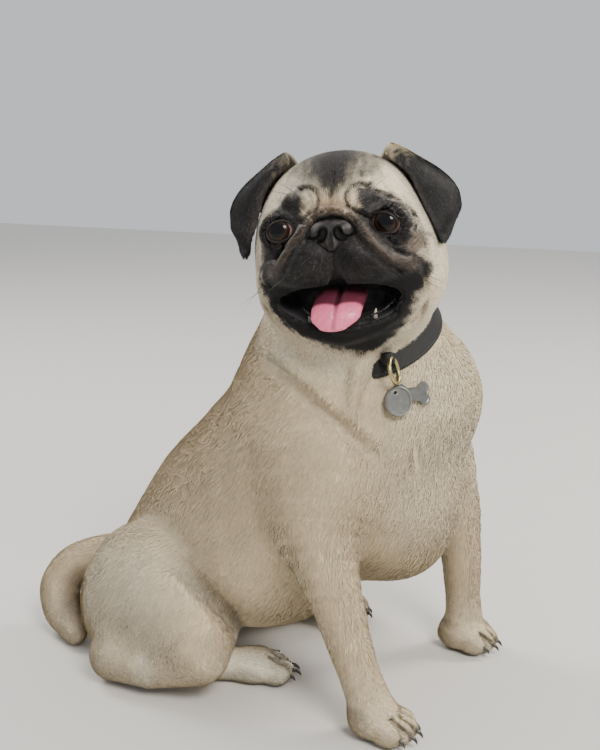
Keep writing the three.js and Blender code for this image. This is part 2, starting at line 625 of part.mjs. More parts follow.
const neckMesh = meshOf(coat, coatGrids([-104, -60, 184], [104, 174, 356], 14));
const aboveChest = neckMesh.intersect(offHead).intersect(past(...neckCut));
addNode("neck", aboveChest.subtract(collarRoom).subtract(keeper(2 * GAP)).subtract(ringRoom), FUR);
const trunkMesh = meshOf(coat, coatGrids([-135, -60, -32], [135, 290, 252], 16));
const torso = trunkMesh
  .intersect(before(...neckCut))
  .subtract(foreBox(-1, 1))
  .subtract(foreBox(1, 1))
  .subtract(thighBox(-1, 1))
  .subtract(thighBox(1, 1))
  .subtract(footBoxes.right(1))
  .subtract(tailBox)
  .intersect(floor);
addNode("torso", torso, FUR);

// Front legs and paws
const wristCut = [[0, 10, 30], [0, -0.2, 1]];
[["right", -1], ["left", 1]].forEach(([name, side]) => {
  const lo = side < 0 ? -120 : 36;
  const leg = meshOf(coat, coatGrids([lo, -50, 10], [lo + 84, 120, 150], 10));
  addNode(`foreleg_${name}`, leg.intersect(foreBox(side, -1)).intersect(past(...wristCut)), FUR);
  const paw = meshOf(coat, coatGrids([lo, -40, -12], [lo + 84, 50, 48], 6));
  addNode(`fore_paw_${name}`, paw.intersect(foreBox(side, -1)).intersect(before(...wristCut)).intersect(floor), FUR);
});

// Hind legs and feet
[["right", -1], ["left", 1]].forEach(([name, side]) => {
  const lo = side < 0 ? -128 : 30;
  const leg = meshOf(coat, coatGrids([lo, 80, -24], [lo + 98, 280, 150], 12));
  addNode(`thigh_${name}`, leg.intersect(thighBox(side, -1)).subtract(footBoxes[name](1)).intersect(floor), FUR);
  const foot = meshOf(coat, coatGrids([lo, 70, -16], [lo + 110, 240, 48], 8));
  addNode(`hind_foot_${name}`, foot.intersect(footBoxes[name](-1)).intersect(floor), FUR);
});

// Tail
const tail = meshOf(tailField, coatGrids([-80, 230, -8], [25, 328, 84], 8)).intersect(floor).intersect(past(...tailPlane));
const curlCuts = [[[-16, 275, 57], [-0.3, 1, -0.25]], [[-41, 293, 19], [-0.3, -0.6, -0.7]]];
addNode("tail_base", tail.intersect(before(...curlCuts[0])), FUR);
addNode("tail_curl", tail.intersect(past(...curlCuts[0])), FUR);

addNode("collar", collar, STRAP_BLACK, 0.6);
addNode("collar_ring", ringSolid(0), RING_BRASS, 0.35, 0.8);
addNode("tag_round", roundTag, TAG_STEEL, 0.4, 0.7);
addNode("tag_bone", boneTag, TAG_STEEL, 0.4, 0.7);

export default pug;
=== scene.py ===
import bpy
import numpy as np
from mathutils import Matrix, Vector


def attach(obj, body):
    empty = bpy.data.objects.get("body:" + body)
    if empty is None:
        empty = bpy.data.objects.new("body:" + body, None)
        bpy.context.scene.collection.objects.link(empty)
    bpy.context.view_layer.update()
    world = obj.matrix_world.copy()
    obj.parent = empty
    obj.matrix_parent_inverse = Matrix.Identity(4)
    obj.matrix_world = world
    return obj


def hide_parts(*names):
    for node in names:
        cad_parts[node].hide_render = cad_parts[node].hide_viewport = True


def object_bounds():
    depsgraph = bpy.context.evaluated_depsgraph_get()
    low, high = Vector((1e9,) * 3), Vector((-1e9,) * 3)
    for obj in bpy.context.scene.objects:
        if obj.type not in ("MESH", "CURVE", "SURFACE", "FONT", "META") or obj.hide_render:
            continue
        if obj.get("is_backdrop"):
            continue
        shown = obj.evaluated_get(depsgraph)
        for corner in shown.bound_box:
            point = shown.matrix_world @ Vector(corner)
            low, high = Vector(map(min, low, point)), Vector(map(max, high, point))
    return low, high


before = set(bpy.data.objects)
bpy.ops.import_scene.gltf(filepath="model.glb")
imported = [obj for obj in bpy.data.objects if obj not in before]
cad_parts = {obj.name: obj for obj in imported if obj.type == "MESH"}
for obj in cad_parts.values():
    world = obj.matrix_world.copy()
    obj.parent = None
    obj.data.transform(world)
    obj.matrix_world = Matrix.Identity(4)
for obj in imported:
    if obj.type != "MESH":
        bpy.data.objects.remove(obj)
CAD_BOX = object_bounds()
CENTRE = np.array([0, 149, 0], np.float32)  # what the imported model's origin is in the shapes' own frame, mm

# Driving sizes, mm
FINE = 1  # how many times coarser a draft's small pieces are
CELL = 1.25  # the skin's grid where it is fine
CELL_BODY = 2.5
FUR_COUNT = 600000
EAR_FUR_COUNT = 45000
HAIRS_IN_A_PIECE = 98000
rng = np.random.default_rng(7)


# Fields: each takes points (n, 3) in millimetres, from the floor between the front paws, and gives the
# distance to a surface, below zero inside
def turned(tip, roll, turn):
    x, y, z = np.radians([tip, roll, turn])
    about_x = np.array([[1, 0, 0], [0, np.cos(x), -np.sin(x)], [0, np.sin(x), np.cos(x)]])
    about_y = np.array([[np.cos(y), 0, np.sin(y)], [0, 1, 0], [-np.sin(y), 0, np.cos(y)]])
    about_z = np.array([[np.cos(z), -np.sin(z), 0], [np.sin(z), np.cos(z), 0], [0, 0, 1]])
    return about_z @ about_x @ about_y


def blend(a, b, k):
    h = np.maximum(k - np.abs(a - b), 0) / k
    return np.minimum(a, b) - h * h * k / 4


def carve(a, b, k):
    return -blend(-a, b, k)


def joined(fields, k):
    def field(p):
        total = fields[0](p)
        for other in fields[1:]:
            total = blend(total, other(p), k)
        return total
    return field


def in_frame(origin, axes, field):
    """A field given in another frame, whose axes are the columns of axes, as one of points outside it."""
    o = np.array(origin, np.float32)
    a = np.array(axes, np.float32)
    return lambda p: field((p - o) @ a)


def dots(a, b):
    return np.einsum("ij,ij->i", a, b)


def distance(*offsets):
    return np.sqrt(sum(offset ** 2 for offset in offsets))


def one_side(p):
    """Points with those on the right mirrored to the left."""
    return np.column_stack([np.abs(p[:, 0]), p[:, 1], p[:, 2]])


def egg(centre, radii, tip=0, turn=0):
    r = np.array(radii, np.float32)

    def field(q):
        a = q / r
        outer = np.sqrt(dots(a, a))
        b = a / r
        return outer * (outer - 1) / np.maximum(np.sqrt(dots(b, b)), 1e-6)
    return in_frame(centre, turned(tip, 0, turn), field)


def limb(stations, wide=1.0):
    s = np.array(stations, np.float32)
    spread = np.array([wide, 1, 1], np.float32)
    middle = (s[:, :3].min(0) + s[:, :3].max(0)) / 2
    reach = (s[:, :3].max(0) - s[:, :3].min(0)) / 2 + s[:, 3].max() * spread + 45

    def near(p):
        least = np.full(len(p), np.inf, np.float32)
        for a, b in zip(s[:-1], s[1:]):
            along = (b[:3] - a[:3]) / spread
            q = (p - a[:3]) / spread
            t = np.clip(q @ along / (along @ along), 0, 1)
            q -= t[:, None] * along
            d = np.sqrt(dots(q, q)) - a[3] - (b[3] - a[3]) * t
            np.minimum(least, d, out=least)
        return least

    def field(p):
        far = np.maximum(np.abs(p - middle) - reach, 0).max(1)
        total = far + 40
        close = far <= 0
        if close.any():
            total[close] = near(p[close])
        return total
    return field


def eased(stations, steps):
    """A limb's stations, closer together on a smooth curve."""
    s = np.array(stations, float)
    n = len(s)
    out = []
    for k in range(steps + 1):
        place = k / steps * (n - 1)
        i = min(int(place), n - 2)
        w = place - i
        before = s[i - 1, :3] if i else 2 * s[0, :3] - s[1, :3]
        after = s[i + 2, :3] if i + 2 < n else 2 * s[-1, :3] - s[-2, :3]
        p = [before, s[i, :3], s[i + 1, :3], after]
        d = [max(((b - a) @ (b - a)) ** 0.25, 1e-4) for a, b in zip(p[:-1], p[1:])]
        m1 = ((p[1] - p[0]) / d[0] - (p[2] - p[0]) / (d[0] + d[1]) + (p[2] - p[1]) / d[1]) * d[1]
        m2 = ((p[2] - p[1]) / d[1] - (p[3] - p[1]) / (d[1] + d[2]) + (p[3] - p[2]) / d[2]) * d[1]
        at = p[1] + m1 * w + (3 * (p[2] - p[1]) - 2 * m1 - m2) * w ** 2
        at = at + (2 * (p[1] - p[2]) + m1 + m2) * w ** 3
        out.append([*at, s[i, 3] + (s[i + 1, 3] - s[i, 3]) * w])
    return out


def curve(stations, steps, wide=1.0):
    return limb(eased(stations, steps), wide)


# Trunk and neck
SPINE = [[0, 194, 70, 57], [0, 152, 108, 70], [0, 108, 140, 79], [0, 76, 174, 82], [0, 68, 196, 77]]
trunk = curve(SPINE, 20, 1.1)
neck = curve([[0, 66, 206, 70], [-3, 66, 236, 60], [-8, 64, 262, 56], [-20, 60, 300, 50]], 12, 0.94)
belly = egg([0, 122, 90], [84, 58, 58])
brisket = egg([0, 34, 128], [46, 44, 50])
chest_left = egg([19, 25, 205], [42, 41, 42])
torso_field = joined([trunk, neck, belly, brisket, chest_left], 24)

# Head frame: x to the dog's left, y backwards, z up, from midway between the eyes
HEAD_AT = np.array([-79, 42, 327], np.float32)
HEAD_AXES = turned(-5, -5.5, -72).astype(np.float32)
EYE = dict(x=32.5, y=7, z=-1, radius=10.7)


def to_head(p):
    return (p - HEAD_AT) @ HEAD_AXES


def from_head(q):
    return np.asarray(q, np.float32) @ HEAD_AXES.T + HEAD_AT


skull = egg([0, 48, 4], [52, 54, 44])
cheek = egg([32, 40, -24], [25, 34, 34])
cheek_left = egg([38.5, 42, -29], [26, 33, 33])
jowl = egg([0, 30, -44], [51, 36, 37], 14)
nape = egg([0, 82, -16], [46, 38, 42])
# The face, from the smooth head to its smallest folds. Lines are [x, y, z, radius] in the head's frame.
orbit = egg([EYE["x"], EYE["y"] + 3, EYE["z"]], [15.5, 12.5, 14.5])
LID_WIDE, LID_HIGH = (8.8, 7.8), (6.3, 6.1)  # outer and inner, upper and lower reach of an opening


def lid_shift(x):
    """How far an opening's middle is from its eye's, away from the nose."""
    return np.where(x > 0, -2.6, -0.2)


lids = egg([EYE["x"] + 0.5, EYE["y"] + 0.5, EYE["z"]], [13, 12.6, 12.4])


def lid_opening(q):
    """An almond seen from the front, wider towards the outer corner."""
    a = one_side(q)
    x, z = a[:, 0] - EYE["x"] - lid_shift(q[:, 0]), a[:, 2] - EYE["z"]
    z = z + 0.1 * x
    slit = np.sqrt((x / np.where(x > 0, *LID_WIDE)) ** 2 + (z / np.where(z > 0, *LID_HIGH)) ** 2)
    return np.maximum((slit - 1) * 6, a[:, 1] - EYE["y"] + 1)


eye_room = egg([EYE["x"], EYE["y"], EYE["z"]], [10.2, 10.2, 10.2])
boss = egg([14.8, 5, 15.5], [10.5, 8.5, 9.8], 0, 8)
boss_outer = egg([25, 7.5, 16], [6.5, 7, 6.5])
wedge_groove = limb([[-0.6, -5.5, 12, 0.8], [-0.4, -3.4, 19, 1.6], [0, -1, 26, 1.2], [0, 3, 33, 0.4]])
muzzle_pad = egg([15, 0, -18.5], [18.5, 17, 16])
chin = egg([0, 4, -60], [16, 12, 9])
lip_corner = limb([[26, -4, -26, 8], [42, 10, -27, 7]])
lower_lip = curve([[0, 1.5, -64, 8], [22, 5, -58.5, 7.5], [38, 12, -46, 6.5], [46, 19, -34, 5.5]], 9)
nose_fold = curve([[0, -5.5, 9, 3.4], [7, -6, 7.4, 3.8], [13.5, -6.6, 3.2, 4], [20.5, -7, -4, 4.1],
                   [27, -5.6, -12, 4.1], [33.5, -1.4, -18.6, 4], [40, 5.6, -22.6, 3.6],
                   [47, 14, -24, 2.4]], 20)
side_folds = [curve([[47.5, 12, 4, 0.4], [50.4, 16, -6, 1], [50.6, 16, -17, 1.1], [48.6, 15, -26, 0.5]], 10),
              curve([[46, 12, 10, 0.4], [48.5, 14, 18, 0.8], [46, 18, 26, 0.4]], 8)]
muzzle_line = limb([[0, -13, -14, 0.9], [0, -14.6, -20, 1.1], [0, -12.5, -25, 1.4], [0, -8, -29, 3],
                    [0, -1, -34, 5.5]])
nostril_wing = limb([[12.6, -7.4, -8, 1], [14.6, -8.6, -2.6, 0.8], [10.4, -9.4, 4.4, 0.8]])
mouth = joined([egg([0, 18, -41.5], [39.5, 36, 12.5], 14), egg([3, 12, -49], [29, 24, 10], 10)], 6)
flew = egg([15.4, 0.5, -19.6], [16.6, 14.5, 13.2], 0, -6)
flew_rim = curve([[1.6, -4.6, -26.5, 1.6], [8, -5.6, -30.6, 2.2], [16, -5.4, -32, 2.4],
                  [25, -2.4, -30.6, 2.2], [34, 3.4, -28.6, 1.8], [43, 10.6, -27.8, 1.4]], 14)
lip_gap = curve([[40, 9, -30.5, 3], [46.5, 15, -29.8, 1.6], [49, 20, -28.4, 0.8]], 6)
lip_ridge = curve([[-33, 3.4, -39, 1.2], [-25, 0.4, -46.4, 1.5], [-15, -1.6, -54.6, 1.8],
                   [3, -2, -59.6, 1.8], [20, 0.4, -55.4, 1.8], [31, 3.4, -49.6, 1.6], [37, 8, -42, 1.2]], 18)
lip_notch = curve([[-27, -4, -50.6, 0.8], [-14, -7.6, -61.4, 1], [4, -7.4, -66.6, 1], [22, -3, -62.4, 1],
                   [34, 2, -54.6, 0.8]], 12)
chin_folds = [
    curve([[-40, 8, -52, 0.5], [-27, 1.5, -66.5, 1.2], [-8, -0.5, -77, 1.4], [8, 3, -80.4, 1.4],
           [26, 8, -76, 1.2], [41, 16, -62, 0.5]], 16),
    curve([[-48, 20, -36, 0.5], [-45.6, 15, -50, 1], [-36, 11, -66, 1.1], [-22, 8, -78, 0.6]], 10),
    curve([[50.4, 20, -34, 0.5], [48.6, 18, -48, 1.1], [41.6, 18, -66, 1.1], [30, 18, -80, 0.6]], 10),
]
nose_pad = joined([egg([0, -9.5, -5.4], [13, 7.2, 8.6]), egg([6, -11.2, -3.8], [6.6, 5.4, 6]),
                   egg([-6, -11.2, -3.8], [6.6, 5.4, 6]), egg([0, -11.6, -8.5], [4.2, 5.4, 7])], 2.5)
nostril = curve([[4.7, -17.2, -1, 0.9], [4.4, -16, -4.2, 2.6], [6.2, -14.6, -7.2, 2.4],
                 [11.6, -11.6, -7.6, 1.4], [14.4, -8.6, -6.4, 1.0]], 14)
nose_line = limb([[0, -18, -1, 0.5], [0, -17.6, -6, 0.9], [0, -17, -11, 1.1], [0, -14.5, -16, 1.2]])
nose_wing = curve([[7.5, -18, 2.6, 0.3], [11, -15.2, -0.4, 0.4], [13, -12.6, -4, 0.3]], 6)


def nose_field(q):
    a = one_side(q)
    total = carve(nose_pad(q), nostril(a), 1.4)
    total = carve(total, nose_wing(a), 1)
    return carve(total, nose_line(q), 1.2)


# Creases seen from the front: a line of [x, z] places, half width and depth. A ridge's depth is below zero.
CREASES = [
    ([[21.9, 21.6], [16.3, 22.7], [10.8, 20.9], [7.6, 15.9], [9, 10.5], [13.7, 6.5], [18.7, 3.3], [22.3, 1]],
     1.2, 2.3),
    ([[24.9, 17.9], [30.5, 15.4], [36.9, 11.9], [42.2, 7.6], [46.4, 1.6]], 1.0, 1.4),
    ([[-19.1, 22.5], [-13.5, 23], [-9.5, 20.4], [-7.5, 15.6], [-8.7, 10.6], [-12.7, 6.8], [-18.3, 3]],
     1.2, 2.3),
    ([[-16.7, 20.6], [-13.2, 19.4], [-11.8, 16.1], [-13.1, 12.1], [-16.1, 9.1]], 0.9, 1.1),
    ([[-30.2, -25.6], [-26.7, -19.2], [-22.4, -13.9], [-17, -7.7], [-12.6, -1.9]], 1.9, 3.4),
    ([[9.7, -0.2], [13.1, -5.3], [17.7, -12], [23.8, -18.8], [30.4, -25.2], [36.7, -29.2]], 1.9, 3.2),
    ([[-12.6, -1.9], [-6.4, 4], [-0.5, 5.2], [5.4, 4.2], [9.7, -0.2]], 1.6, 2.2),
    ([[-36.8, -19.2], [-31.8, -12], [-26.4, -5.3], [-20.1, -0.6], [-13.9, 4], [-8.7, 8.4]], 1.3, 1.8),
    ([[13, 3.9], [19.3, -0.6], [24.5, -6.9], [29.6, -13.6], [35.8, -18.5], [44.2, -21.7]], 1.3, 1.8),
    ([[-0.7, 15.3], [0.3, 21.4], [1.9, 29]], 1.5, 1.4),
    ([[-4.4, 22.8], [-3.5, 17], [-4.6, 11.3]], 1.0, 0.7),
    ([[4.6, 22], [2.9, 16.4], [2.6, 10.6]], 1.0, 0.7),
    ([[30.9, -10.4], [36.2, -14.7], [42.9, -14.9], [47.6, -11]], 1.2, 1.3),
    ([[46.7, -6.1], [50.7, -8.9], [55.8, -10.8]], 1.3, 1.4),
    ([[-40.9, -6.3], [-37.5, -11.5], [-32.4, -12.9], [-27.8, -10.5]], 1.2, 1.2),
    ([[49.5, -26.6], [51.2, -33.5], [52, -40.3]], 1.4, 1.2),
    ([[-37.9, -24.9], [-31.9, -18.3], [-27, -11.5], [-19.5, -3.6], [-11, 6], [-1.1, 8.6], [8.2, 6],
      [15.3, -2.1], [22.3, -9.5], [27.8, -16.8], [34, -22.7], [43.8, -25.6]], 2.6, -1.7),
]


def off_line(x, z, line):
    """How far (x, z) is from an open line of [x, z] points."""
    least = np.full(len(x), 1e9, np.float32)
    for a, b in zip(np.array(line[:-1], np.float32), np.array(line[1:], np.float32)):
        e = b - a
        dx, dz = x - a[0], z - a[1]
        t = np.clip((dx * e[0] + dz * e[1]) / (e @ e), 0, 1)
        least = np.minimum(least, (dx - t * e[0]) ** 2 + (dz - t * e[1]) ** 2)
    return np.sqrt(least)


def crease_depth(q):
    total = np.zeros(len(q), np.float32)
    close = q[:, 1] < 36
    x, y, z = q[close].T
    own = np.zeros(len(x), np.float32)
    for line, half, depth in CREASES:
        own += depth * np.exp(-(off_line(x, z, line) / half) ** 2)
    total[close] = own * np.clip((34 - y) / 14, 0, 1)
    return total


def head_plain(q, a):
    total = blend(blend(skull(q), cheek(a), 20), cheek_left(q), 14)
    total = blend(total, jowl(q), 16)
    total = blend(total, nape(q), 22)
    return blend(total, orbit(a), 6)


HEAD_FORMS = [(boss, 3), (boss_outer, 4), (lids, 3), (muzzle_pad, 6), (lip_corner, 5), (lower_lip, 5)]
HEAD_LINES = [(wedge_groove, 2.6), (lip_notch, 2), *((fold, 2.4) for fold in chin_folds)]


def face(q, a, total):
    """The head's field with its small forms, at points q, which are a on one side."""
    for form, soft in HEAD_FORMS:
        total = blend(total, form(a), soft)
    total = blend(total, chin(q), 6)
    total = blend(total, nose_fold(a), 2.2) + crease_depth(q)
    for groove in side_folds:
        total = carve(total, groove(a), 2.4)
    for groove, soft in HEAD_LINES:
        total = carve(total, groove(q), soft)
    total = carve(carve(total, nostril_wing(a), 1.4), mouth(q), 3)
    total = blend(blend(total, flew(a), 4), flew_rim(a), 2)
    total = carve(carve(total, muzzle_line(q), 1.6), lip_gap(a), 2)
    total = carve(blend(total, lip_ridge(q), 1.5), lid_opening(q), 1.2)
    return carve(total, eye_room(a), 0.4)


def head_field(q, fine=True):
    a = one_side(q)
    total = head_plain(q, a)
    if not fine:
        return total
    close = (q[:, 1] < 40) & (np.abs(total) < 22)
    if close.any():
        total[close] = face(q[close], a[close], total[close])
    return total


# Legs and tail
def paw(at, turn):
    toes = [egg([side, -10 if abs(side) > 9 else -15, 9], [5.8, 10, 8.5]) for side in TOES]
    pad = egg([0, 3, 11], [16, 17, 12])

    def field(q):
        return joined([pad, *toes], 3)(q)
    return in_frame([at[0], at[1], 0], turned(0, 0, turn), field)


toe_gaps = [limb([[side, -30, 0, 2.2], [side, -24, 8, 1.8], [side * 0.85, -13, 14.5, 1.7],
                  [side * 0.6, -3, 20, 0.6]])
            for side in (-8.6, 0, 8.6)]


def toe_gap(p):
    """How far points are outside the nearest gap between toes."""
    least = np.full(len(p), 40, np.float32)
    for at, turn in PAWS.values():
        near = (np.abs(p[:, :2] - at).max(1) < 46) & (p[:, 2] < 34)
        if near.any():
            q = ((p[near] - np.array([at[0], at[1], 0], np.float32)) @ turned(0, 0, turn)).astype(np.float32)
            least[near] = np.minimum(least[near], np.minimum.reduce([gap(q) for gap in toe_gaps]))
    return least


def toe_shade(p):
    return np.clip((1.6 - toe_gap(p)) / 1.6, 0, 1)


TOES = (-12.4, -4.4, 4.4, 12.4)
PAWS = {  # middle on the floor, and turn
    "fore_right": ([-77, 8], 0),
    "fore_left": ([77, 8], 4),
    "hind_right": ([-42, 116], 34),
    "hind_left": ([84, 116], -6),
}
fore_right = joined([curve([[-52, 62, 172, 40], [-69, 56, 126, 25], [-74, 40, 84, 17], [-76, 24, 42, 13.5],
                            [-77, 13, 18, 14.5]], 16), paw(*PAWS["fore_right"])], 10)
fore_left = joined([curve([[56, 46, 172, 42], [72, 24, 126, 24], [76, 13, 84, 16], [78, 10, 42, 13],
                           [78, 8, 18, 14]], 16), paw(*PAWS["fore_left"])], 10)


def hind(side, name):
    toes, turn = PAWS[name]
    buttock = egg([50 * side, 212, 44], [42, 46, 50])
    thigh = egg([66 * side, 180, 60], [38, 60, 52], 28)
    knee = limb([[72 * side, 164, 62, 34], [84 * side, 141, 44, 24]])
    shin = limb([[90 * side, 136, 30, 17], [96 * side, 172, 20, 15], [92 * side, 206, 20, 18]])
    heel = [88 * side, 208]
    middle = [(heel[0] + toes[0]) / 2, (heel[1] + toes[1]) / 2]
    foot = limb([[*heel, 15, 15], [*middle, 13, 12], [*toes, 12, 12]])
    return joined([joined([buttock, thigh, knee, shin], 12), joined([foot, paw(toes, turn)], 6)], 5)


hind_right = hind(-1, "hind_right")
hind_left = hind(1, "hind_left")
TAIL = eased([[-2, 226, 60, 19], [-8, 250, 60, 17], [-16, 275, 57, 16], [-25, 294, 48, 16],
              [-33, 301, 33, 16], [-41, 293, 19, 15.5], [-50, 279, 14, 13], [-58, 268, 10, 9]], 30)
tail_field = limb(TAIL)
neck_fold = curve([[-67.9, 96.2, 235.7, 0.5], [-76.4, 78.3, 229.8, 2], [-80.1, 64.2, 222.3, 2.8],
                   [-80.3, 52, 215, 3], [-77.6, 33.9, 202.1, 2.8], [-73.4, 24.8, 192.6, 2.2],
                   [-67, 17.4, 182.4, 0.5]], 18)
neck_ridge = curve([[-65.6, 90.5, 240, 1], [-73.2, 73.8, 234, 3], [-76.6, 60, 226.5, 3.6],
                    [-77, 47.2, 218.4, 3.8], [-75.3, 36, 209.6, 3.6], [-71.6, 26.6, 200, 3],
                    [-65.5, 18, 190, 1]], 16)
chest_fold = limb([[-43.1, -0.2, 188, 0.4], [-41.4, -0.3, 180.3, 1.5], [-39.2, -0.2, 172.5, 0.4]])
thigh_fold = curve([[89, 160, 99, 0.5], [89, 147.2, 91.1, 2.4], [86.3, 133.2, 79.9, 3.4],
                    [81.2, 123.1, 68.6, 4], [74.6, 118.6, 55.5, 4], [68, 116, 44, 3]], 14)
collar_fold = curve([[-53.5, 34, 258, 1], [-55, 32.3, 251.3, 3.6], [-58.3, 32.4, 244, 4.6],
                     [-62.2, 32, 236.5, 4.8], [-65.9, 31.2, 228, 4.2], [-69, 30.8, 220, 2.6],
                     [-71, 31, 212, 1]], 12)


def coat_field(p, fine=True):
    """The coat's outside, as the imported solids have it, and with the smallest forms too where fine."""
    total = torso_field(p)
    for part, soft in ((fore_right, 16), (fore_left, 16), (hind_right, 8), (hind_left, 8), (tail_field, 8)):
        total = blend(total, part(p), soft)
    q = to_head(p)
    head = np.full(len(p), 60, np.float32)
    near = np.abs(q - [0, 40, -12]).max(1) < 118
    if near.any():
        head[near] = head_field(q[near], fine)
    total = blend(total, head, 16)
    if fine:
        total = blend(total, neck_ridge(p), 7)
        for groove, soft in ((neck_fold, 6), (chest_fold, 3)):
            total = carve(total, groove(p), soft)
        total = carve(carve(total, thigh_fold(one_side(p)), 7), toe_gap(p), 2)
        total = blend(total, collar_fold(p), 7)
    return total


# Markings
def linear(r, g, b):
    c = np.array([r, g, b], np.float32) / 255
    return np.where(c <= 0.04045, c / 12.92, ((c + 0.055) / 1.055) ** 2.4).astype(np.float32)


FAWN = linear(233, 214, 178)
FAWN_DEEP = linear(208, 186, 150)
CREAM = linear(243, 233, 210)
APRICOT = linear(214, 174, 126)
GREY_BROWN = linear(122, 106, 92)
# Black of the mask and ears, and also the colour of painted shade in folds, gaps and creases
BLACK_AND_SHADE = linear(27, 23, 22)
SOOT_SHEEN = linear(50, 45, 43)
EAR_SOOT = linear(20, 18, 18)
LIP_BLACK = linear(13, 11, 11)


def smooth(lo, hi, x):
    t = np.clip((x - lo) / (hi - lo), 0, 1)
    return t * t * (3 - 2 * t)


def wave(p, scale, seed):
    """Soft noise between -1 and 1, the sum of a few waves across the points."""
    draw = np.random.default_rng(seed)
    total = np.zeros(len(p), np.float32)
    for _ in range(6):
        way = draw.normal(size=3)
        way *= draw.uniform(0.6, 1.6) / np.linalg.norm(way) / scale
        total += np.sin(p @ way.astype(np.float32) * 6.283 + draw.uniform(0, 6.283))
    return total / 3


def outline_distance(x, z, outline):
    """How far (x, z) is outside a closed outline, below zero inside."""
    pts = np.array(outline, np.float32)
    crossings = np.zeros(len(x), bool)
    for a, b in zip(pts, np.roll(pts, -1, 0)):
        e = b - a
        if e[1] != 0:
            crossings ^= ((a[1] > z) != (b[1] > z)) & (x - a[0] < (z - a[1]) / e[1] * e[0])
    return np.where(crossings, -1, 1) * off_line(x, z, [*outline, outline[0]])


MASK = [[-46, 4], [-40, 8.5], [-33.5, 12.5], [-27.5, 18.5], [-22, 20.5], [-17, 18.5], [-16, 13],
        [-17.5, 7.5], [-14, 4], [-8, 8], [0, 10], [8, 8], [13, 5.5], [15.6, 8.5], [16.6, 14], [17.4, 19.5],
        [22, 20.5], [28.5, 16.8], [34, 13.4], [39, 10], [45.5, 2.4], [48, -4], [43.5, -10], [39.5, -13],
        [41, -17.5], [49, -20.5], [54, -28], [51, -37], [46.5, -43], [39, -58], [30, -67.5], [19, -75.5],
        [6, -77], [-8.5, -72], [-22, -66], [-33, -58], [-42, -48], [-47, -32], [-46.5, -20], [-45, -10],
        [-48, -3]]
WEDGE = [[-1.3, 13.5], [-2.4, 19], [-4.6, 25], [-8.5, 29.5], [-13, 33], [-14, 40], [-3, 44], [9, 43],
         [13, 38], [9, 32], [5.6, 26.5], [2.6, 20], [-0.1, 13.5]]


def on_head(q):
    """One on the head, and nothing on the neck and body."""
    up = q[:, 2] - 0.45 * np.maximum(q[:, 1] - 20, 0)
    return smooth(26, 14, head_plain(q, one_side(q))) * smooth(-104, -84, up)


def on_face(p, back, front):
    """One at the front of the head, and nothing behind a place."""
    q = to_head(p)
    return on_head(q) * smooth(back, front, q[:, 1])


def low_on_legs(p, top, bottom):
    """One near the floor outside the belly, and nothing above."""
    return smooth(top, bottom, p[:, 2]) * smooth(26, 44, np.abs(p[:, 0]))


def between(first, second, share):
    """Colours or directions between two, by a share of the second at each point."""
    return first * (1 - share[:, None]) + second * share[:, None]


def layered(colour, *layers):
    """Colours after layers of (colour, share) laid over one another."""
    for other, share in layers:
        colour = colour + (other - colour) * share[:, None]
    return colour


def head_colour(q):
    """Colours at head points: fawn under a black mask, with the marks of the forehead and painted shade in
    the creases.
    """
    x, y, z = q.T
    low = smooth(-18, -28, z)
    front = smooth(42 + 16 * low, 22 + 18 * low, y)
    ragged = wave(q, 9, 3) * 1.6 + wave(q, 3.5, 4) * 0.9
    dark = smooth(4.5, -3.5, outline_distance(x, z, MASK) + ragged) * front
    wedge = smooth(3.5, -3, outline_distance(x, z, WEDGE) + ragged) * smooth(34, 20, y)
    wedge = wedge * (0.95 - 0.5 * smooth(26, 38, z))
    streaks = 1.6 * wave(q * np.array([1, 0.2, 0.2], np.float32), 5, 13)
    from_patch = distance(x, (z - 43) * 1.3) + 3 * wave(q, 12, 9) + 1.5 * streaks
    patch = (0.74 + 0.16 * wave(q, 6, 14)) * smooth(43, 20, from_patch) * smooth(62, 30, y)
    patch_middle = 0.95 * smooth(17, 6, distance(x, (z - 40) * 0.7) + streaks) * smooth(56, 30, y)
    top = 0.35 * smooth(44, 12, distance(x, y - 34) + 4 * wave(q, 14, 10)) * smooth(30, 44, z)
    cheek_side = smooth(38, 50, np.abs(x)) * smooth(-48, -20, z)
    bridge = smooth(16, 4, np.abs(x)) * smooth(2, 9, z) * smooth(22, 10, z) * front
    # Painted shade in the face's creases, darker where they are deeper
    crease_shade = smooth(0.5, 2.0, crease_depth(q))
    rope = smooth(6.5, 2.5, off_line(x, z, CREASES[-1][0])) * front * (1 - crease_shade)
    spot = smooth(9, 5, distance(x - 45, z + 13.5)) * (x > 0) * front
    deep = np.clip(dark - 0.52 * rope * (0.7 + 0.5 * wave(q, 1.8, 6)), 0, 1)
    # Black hair with random patches of painted sheen
    black_and_sheen = layered(BLACK_AND_SHADE, (SOOT_SHEEN, 0.35 + 0.3 * wave(q, 8, 8)))
    marks_and_shade = (wedge, patch, patch_middle, top, 0.85 * crease_shade)
    return layered(FAWN, (CREAM, 0.5 + 0.25 * wave(q, 22, 5)), (CREAM, 0.5 * cheek_side),
                   (APRICOT * 0.72, 0.75 * bridge),
                   (GREY_BROWN, np.clip(1.2 * np.maximum(dark, 0.8 * spot), 0, 1)),
                   (black_and_sheen, smooth(0.25, 0.95, deep)), *((BLACK_AND_SHADE * 1.2, np.clip(darkening, 0, 1)) for darkening in marks_and_shade),
                   (LIP_BLACK, smooth(-27, -35, z) * smooth(0.4, 0.9, dark)))


